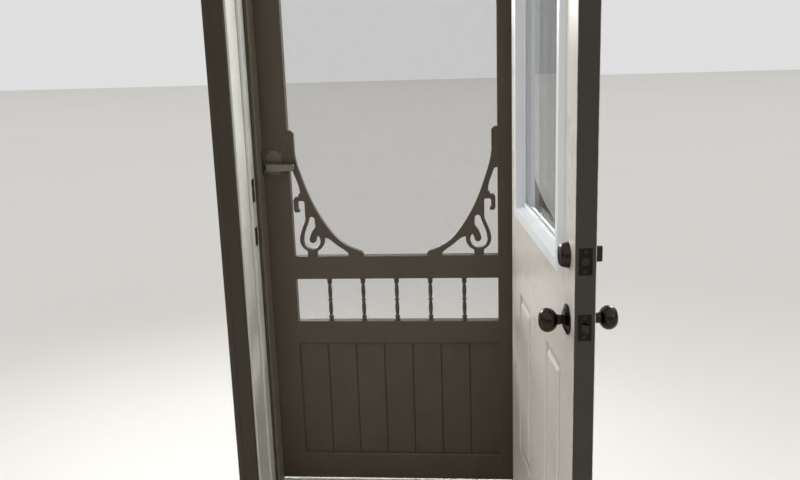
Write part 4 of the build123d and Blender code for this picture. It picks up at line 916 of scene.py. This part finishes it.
class DOORWAY_OT_insect_cloth(Step):
    """Stretch the insect cloth over both openings of the screen door"""

    bl_idname = "doorway.insect_cloth"
    bl_label = "Insect cloth"

    def execute(self, context):
        low, high = node_span("insect_screen")
        rail_low, rail_high = node_span("screen_mid_rail")
        lap = node_span("screen_low_rail")[1].z - low.z
        parts, area = [], 0.0
        for z0, z1, rows in (
            (low.z, rail_low.z + lap, 10), (rail_high.z - lap, high.z, 60),
        ):
            deselect()
            bpy.ops.mesh.primitive_grid_add(
                x_subdivisions=36, y_subdivisions=rows, size=1, rotation=(QUARTER_TURN, 0, 0),
                location=((low.x + high.x) / 2, (low.y + high.y) / 2, (z0 + z1) / 2),
            )
            part = bpy.context.active_object
            part.scale = (high.x - low.x, z1 - z0, 1)
            area += (high.x - low.x) * (z1 - z0)
            settle(part, "cloth")
            mode("EDIT")
            select_by(part, "verts", lambda vertex: not vertex.is_boundary)
            bpy.ops.transform.vertex_random(offset=sizes().cloth_slack, seed=3)
            bpy.ops.mesh.vertices_smooth(factor=0.5, repeat=6)
            mode("OBJECT")
            parts.append(part)
        cloth = join_pieces(parts, "insect_cloth")
        take(cloth)
        bpy.ops.object.shade_smooth()
        set_finish(cloth, net_cloth())
        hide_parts("insect_screen")
        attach(cloth, "screen_door")
        return {"FINISHED"}


class DOORWAY_OT_edge_screws(Step):
    """Model the cross recessed screws of the strikes and of the faceplates"""

    bl_idname = "doorway.edge_screws"
    bl_label = "Strike and faceplate screws"

    def execute(self, context):
        dome, depth, shank, sink = 0.0001, 0.002, 0.011, 0.0001
        short, tall = 0.041, 0.054
        strikes = (("latch_strike", short), ("deadbolt_strike", tall))
        cases = (("latch_case", short), ("deadbolt_case", short))
        for node, swung, out, body, plates in (
            ("strike_screws", False, 1, "frame", strikes),
            ("faceplate_screws", True, -1, "inner_door", cases),
        ):
            low, high = node_span(node, swung)
            x = high.x if out > 0 else low.x
            y = (low.y + high.y) / 2
            places = []
            for plate, pitch in plates:
                plate_low, plate_high = node_span(plate, swung)
                middle = (plate_low.z + plate_high.z) / 2
                for z in (middle - pitch / 2, middle + pitch / 2):
                    places.append(((x - out * sink, y, z), (out, 0, 0)))
            pattern = screw_pattern(sizes().screw_head, dome, depth, shank)
            screws = repeat(pattern, places, node + "_cross")
            if swung:
                swing(screws)
            set_finish(screws, bpy.data.materials["screw_steel"])
            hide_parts(node)
            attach(screws, body)
        return {"FINISHED"}


class DOORWAY_OT_hinge_screws(Step):
    """Model the screw heads on the leaves of all the hinges"""

    bl_idname = "doorway.hinge_screws"
    bl_label = "Hinge screws"

    def execute(self, context):
        dome, depth, rise = 0.0001, 0.0006, 0.00005
        # Each screw's height on its leaf, and its distance from the leaf's edge
        butt_rows = ((0.016, 0.0176), (0.0508, 0.0276), (0.0508, 0.0096), (0.0856, 0.0176))
        light_rows = ((0.012, 0.008), (0.038, 0.016), (0.064, 0.008))
        door_leaves, screen_leaves = "door_hinge_leaves", "screen_door_leaves"
        butt = (door_leaves, node_span(door_leaves, True)[1].y, -1, 0.0041, butt_rows)
        light = (screen_leaves, node_span(screen_leaves)[0].y, 1, 0.003, light_rows)
        door = node_span("hinge_edge_stile", True)[1].x
        screen = node_span("screen_hinge_stile")[1].x
        screen_pivot = JOINTS["screen_door_hinge"]["pos_m"][0]
        leaf = sizes().screen_leaf
        for name, (leaves, edge, into, radius, rows), face, out, body in (
            ("door_hinge_screws", butt, door, 1, "inner_door"),
            ("jamb_hinge_screws", butt, 2 * PIVOT.x - door, -1, "frame"),
            ("screen_hinge_screws", light, screen + leaf, 1, "screen_door"),
            ("moulding_hinge_screws", light, 2 * screen_pivot - screen - leaf, -1, "frame"),
        ):
            places = [
                ((face + out * rise, edge + into * inset, bottom + up), (out, 0, 0))
                for bottom in self.hinge_heights(leaves) for up, inset in rows
            ]
            screws = repeat(screw_pattern(radius, dome, depth, 0), places, name)
            if body == "inner_door":
                swing(screws)
            set_finish(screws, bpy.data.materials["screw_steel"])
            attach(screws, body)
        return {"FINISHED"}

    def hinge_heights(self, node):
        """Bottom of each hinge leaf of a node, from the gaps in its heights."""
        least_gap = 0.2
        heights = sorted({round(v.co.z, 4) for v in NODES[node].data.vertices})
        return [heights[0]] + [b for a, b in zip(heights, heights[1:]) if b - a > least_gap]


class DOORWAY_OT_latch_screws(Step):
    """Model the pan head screws of the screen door's latch and keeper"""

    bl_idname = "doorway.latch_screws"
    bl_label = "Latch screws"

    def execute(self, context):
        radius, flange = sizes().pan_head, 0.003
        inset = radius + 0.0022
        low, high = node_span("screen_latch_case")
        face = node_span("screen_latch_stile")[0].y - flange
        places = [
            ((x, face, z), (0, -1, 0))
            for x in (low.x + inset, high.x - inset) for z in (high.z - inset, low.z + inset)
        ]
        screws = repeat(screw_pattern(radius, 0.0012, 0.0012, 0), places, "latch_screws")
        plate, across, end = 0.0015, 0.0065, 0.012
        low, high = node_span("screen_keeper")
        places = [
            ((low.x + plate, low.y + across, z), (1, 0, 0)) for z in (low.z + end, high.z - end)
        ]
        keeper = repeat(screw_pattern(radius, 0.001, 0.0008, 0), places, "keeper_screws")
        for piece, body in ((screws, "screen_door"), (keeper, "frame")):
            set_finish(piece, bpy.data.materials["screw_steel"])
            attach(piece, body)
        return {"FINISHED"}


class DOORWAY_OT_bolt_box(Step):
    """Model the round dust box behind the deadbolt's strike"""

    bl_idname = "doorway.bolt_box"
    bl_label = "Bolt box"

    def execute(self, context):
        low, high = node_span("deadbolt_strike")
        back = node_span("strike_jamb")[0].x
        depth, radius, wall = sizes().box_depth, sizes().box_radius, sizes().box_wall
        deselect()
        bpy.ops.mesh.primitive_cylinder_add(
            vertices=40, radius=radius, depth=depth, rotation=(0, QUARTER_TURN, 0),
            location=(back - depth / 2, (low.y + high.y) / 2, (low.z + high.z) / 2),
        )
        box = settle(bpy.context.active_object, "bolt_box")
        mode("EDIT")
        select_by(box, "faces", lambda face: face.normal.x > 0.9)
        bpy.ops.mesh.inset(thickness=wall)
        extrude(wall - depth, 0, 0)
        mode("OBJECT")
        round_edges(box, 0.0004, 2)
        set_finish(box, soft_strip("bolt_box_resin", BOX_RESIN, 400.0, 0.6, 0.00005))
        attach(box, "frame")
        return {"FINISHED"}


class DOORWAY_OT_glazing_beads(Step):
    """Model the ridged white bead around the glass on both sides"""

    bl_idname = "doorway.glazing_beads"
    bl_label = "Glazing beads"

    def execute(self, context):
        glass_low, glass_high = node_span("glass_panes", True)
        low, high = node_span("exterior_lite_frame", True)
        reveal, width, rise, ridge = 0.0398, sizes().bead, sizes().bead_rise, sizes().bead_ridge
        shoulder = width * 0.24
        corner_low = (low.x + reveal, low.z + reveal)
        corner_high = (high.x - reveal, high.z - reveal)
        rings = []
        for y, out in ((glass_high.y, 1), (glass_low.y, -1)):
            ring = frame_ring(corner_low, corner_high, width, y, y + out * rise)
            mode("EDIT")
            select_by(ring, "faces", lambda face: face.normal.y * out > 0.9)
            bpy.ops.mesh.inset(thickness=shoulder)
            extrude(0, out * ridge, 0)
            mode("OBJECT")
            round_edges(ring, 0.0007, 2)
            rings.append(ring)
        beads = swing(join_pieces(rings, "glazing_beads"))
        set_finish(beads, bpy.data.materials["exterior_lite_frame_enamel"])
        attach(beads, "inner_door")
        return {"FINISHED"}


class DOORWAY_OT_lite_plugs(Step):
    """Model the round screw covers on the room side of the glazed frame"""

    bl_idname = "doorway.lite_plugs"
    bl_label = "Glazed frame covers"

    def execute(self, context):
        low, high = node_span("interior_lite_frame", True)
        inset, spaces, thickness, rise = 0.021, 4, 0.0012, 0.0003
        run = high.z - low.z - 2 * inset
        rows = [low.z + inset + run * i / spaces for i in range(spaces + 1)]
        points = [(x, z) for z in rows for x in (low.x + inset, high.x - inset)]
        points += [(0, low.z + inset), (0, high.z - inset)]
        places = [((x, low.y, z), (0, -1, 0)) for x, z in points]
        deselect()
        bpy.ops.mesh.primitive_cylinder_add(
            vertices=32, radius=sizes().plug, depth=thickness, location=(0, 0, rise)
        )
        plug = settle(bpy.context.active_object, "plug")
        round_edges(plug, 0.0004, 2)
        plugs = swing(repeat(plug, places, "lite_plugs"))
        set_finish(plugs, bpy.data.materials["interior_lite_frame_enamel"])
        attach(plugs, "inner_door")
        return {"FINISHED"}


class DOORWAY_OT_stage(Step):
    """Set the pale floor, the soft lamps and the camera"""

    bl_idname = "doorway.stage"
    bl_label = "Stage"

    def execute(self, context):
        self.floor()
        self.world()
        for settings in LAMPS:
            lamp(*settings)
        self.camera()
        context.scene.view_settings.view_transform = "Standard"
        return {"FINISHED"}

    def floor(self):
        """Wide pale floor."""
        deselect()
        bpy.ops.mesh.primitive_grid_add(
            x_subdivisions=4, y_subdivisions=4, size=40, location=(0, 0, 0)
        )
        floor = settle(bpy.context.active_object, "floor")
        material, tree, shader = new_material("floor")
        base = list(colours().floor)
        cloudy = patches(tree, object_place(tree), 0.6, 0.3, 0.7, 3.0, 0.5)
        put(tree, mix(tree, cloudy, shade(base, 0.985), base), shader.inputs["Base Color"])
        shader.inputs["Roughness"].default_value = 0.8
        set_finish(floor, material)

    def world(self):
        """White surroundings, brighter to the camera and through glass than as light."""
        world = bpy.data.worlds.new("studio")
        bpy.context.scene.world = world
        world.use_nodes = True
        tree = world.node_tree
        rays = add(tree, "LightPath").outputs
        seen = calc(tree, "MAXIMUM", rays["Is Camera Ray"], rays["Is Transmission Ray"])
        back = tree.nodes["Background"]
        back.inputs["Color"].default_value = (1, 1, 1, 1)
        put(tree, ramp(tree, seen, 0.0, 1.0, WORLD_LIGHT, WORLD_SEEN), back.inputs["Strength"])

    def camera(self):
        """Camera at the photograph's place, measured from the part."""
        data = bpy.data.cameras.new("camera")
        data.sensor_fit = "HORIZONTAL"
        data.sensor_width = 36.0
        data.lens = sizes().lens
        camera = bpy.data.objects.new("camera", data)
        bpy.context.collection.objects.link(camera)
        pitch, roll, yaw = (math.radians(angle) for angle in CAMERA_ANGLES)
        ahead = math.cos(pitch)
        forward = Vector((-math.sin(yaw) * ahead, math.cos(yaw) * ahead, -math.sin(pitch)))
        right = Vector((math.cos(yaw), math.sin(yaw), 0))
        down = forward.cross(right)
        level, fall = math.cos(roll), math.sin(roll)
        x_axis, y_axis = level * right + fall * down, fall * right - level * down
        turn = Matrix((x_axis, y_axis, -forward)).transposed().to_4x4()
        camera.matrix_world = Matrix.Translation(CAMERA_PLACE) @ turn
        bpy.context.scene.camera = camera


class DOORWAY_PT_panel(bpy.types.Panel):
    """Settings and steps of the doorway"""

    bl_label = "Doorway"
    bl_idname = "DOORWAY_PT_panel"
    bl_space_type = "VIEW_3D"
    bl_region_type = "UI"
    bl_category = "Doorway"

    def draw(self, context):
        for settings in (colours(), sizes()):
            box = self.layout.box()
            for name in settings.__annotations__:
                box.prop(settings, name)
        for step in STEPS:
            self.layout.operator(step.bl_idname)


# The steps run in the order in which they are defined
STEPS = tuple(Step.__subclasses__())
CLASSES = (DOORWAY_PG_colours, DOORWAY_PG_sizes, *STEPS, DOORWAY_PT_panel)


def register():
    for cls in CLASSES:
        bpy.utils.register_class(cls)
    bpy.types.Scene.doorway_colours = bpy.props.PointerProperty(type=DOORWAY_PG_colours)
    bpy.types.Scene.doorway_sizes = bpy.props.PointerProperty(type=DOORWAY_PG_sizes)


def unregister():
    del bpy.types.Scene.doorway_colours
    del bpy.types.Scene.doorway_sizes
    for cls in reversed(CLASSES):
        bpy.utils.unregister_class(cls)


def main():
    register()
    for step in STEPS:
        group, name = step.bl_idname.split(".")
        getattr(getattr(bpy.ops, group), name)()


if __name__ == "__main__":
    main()
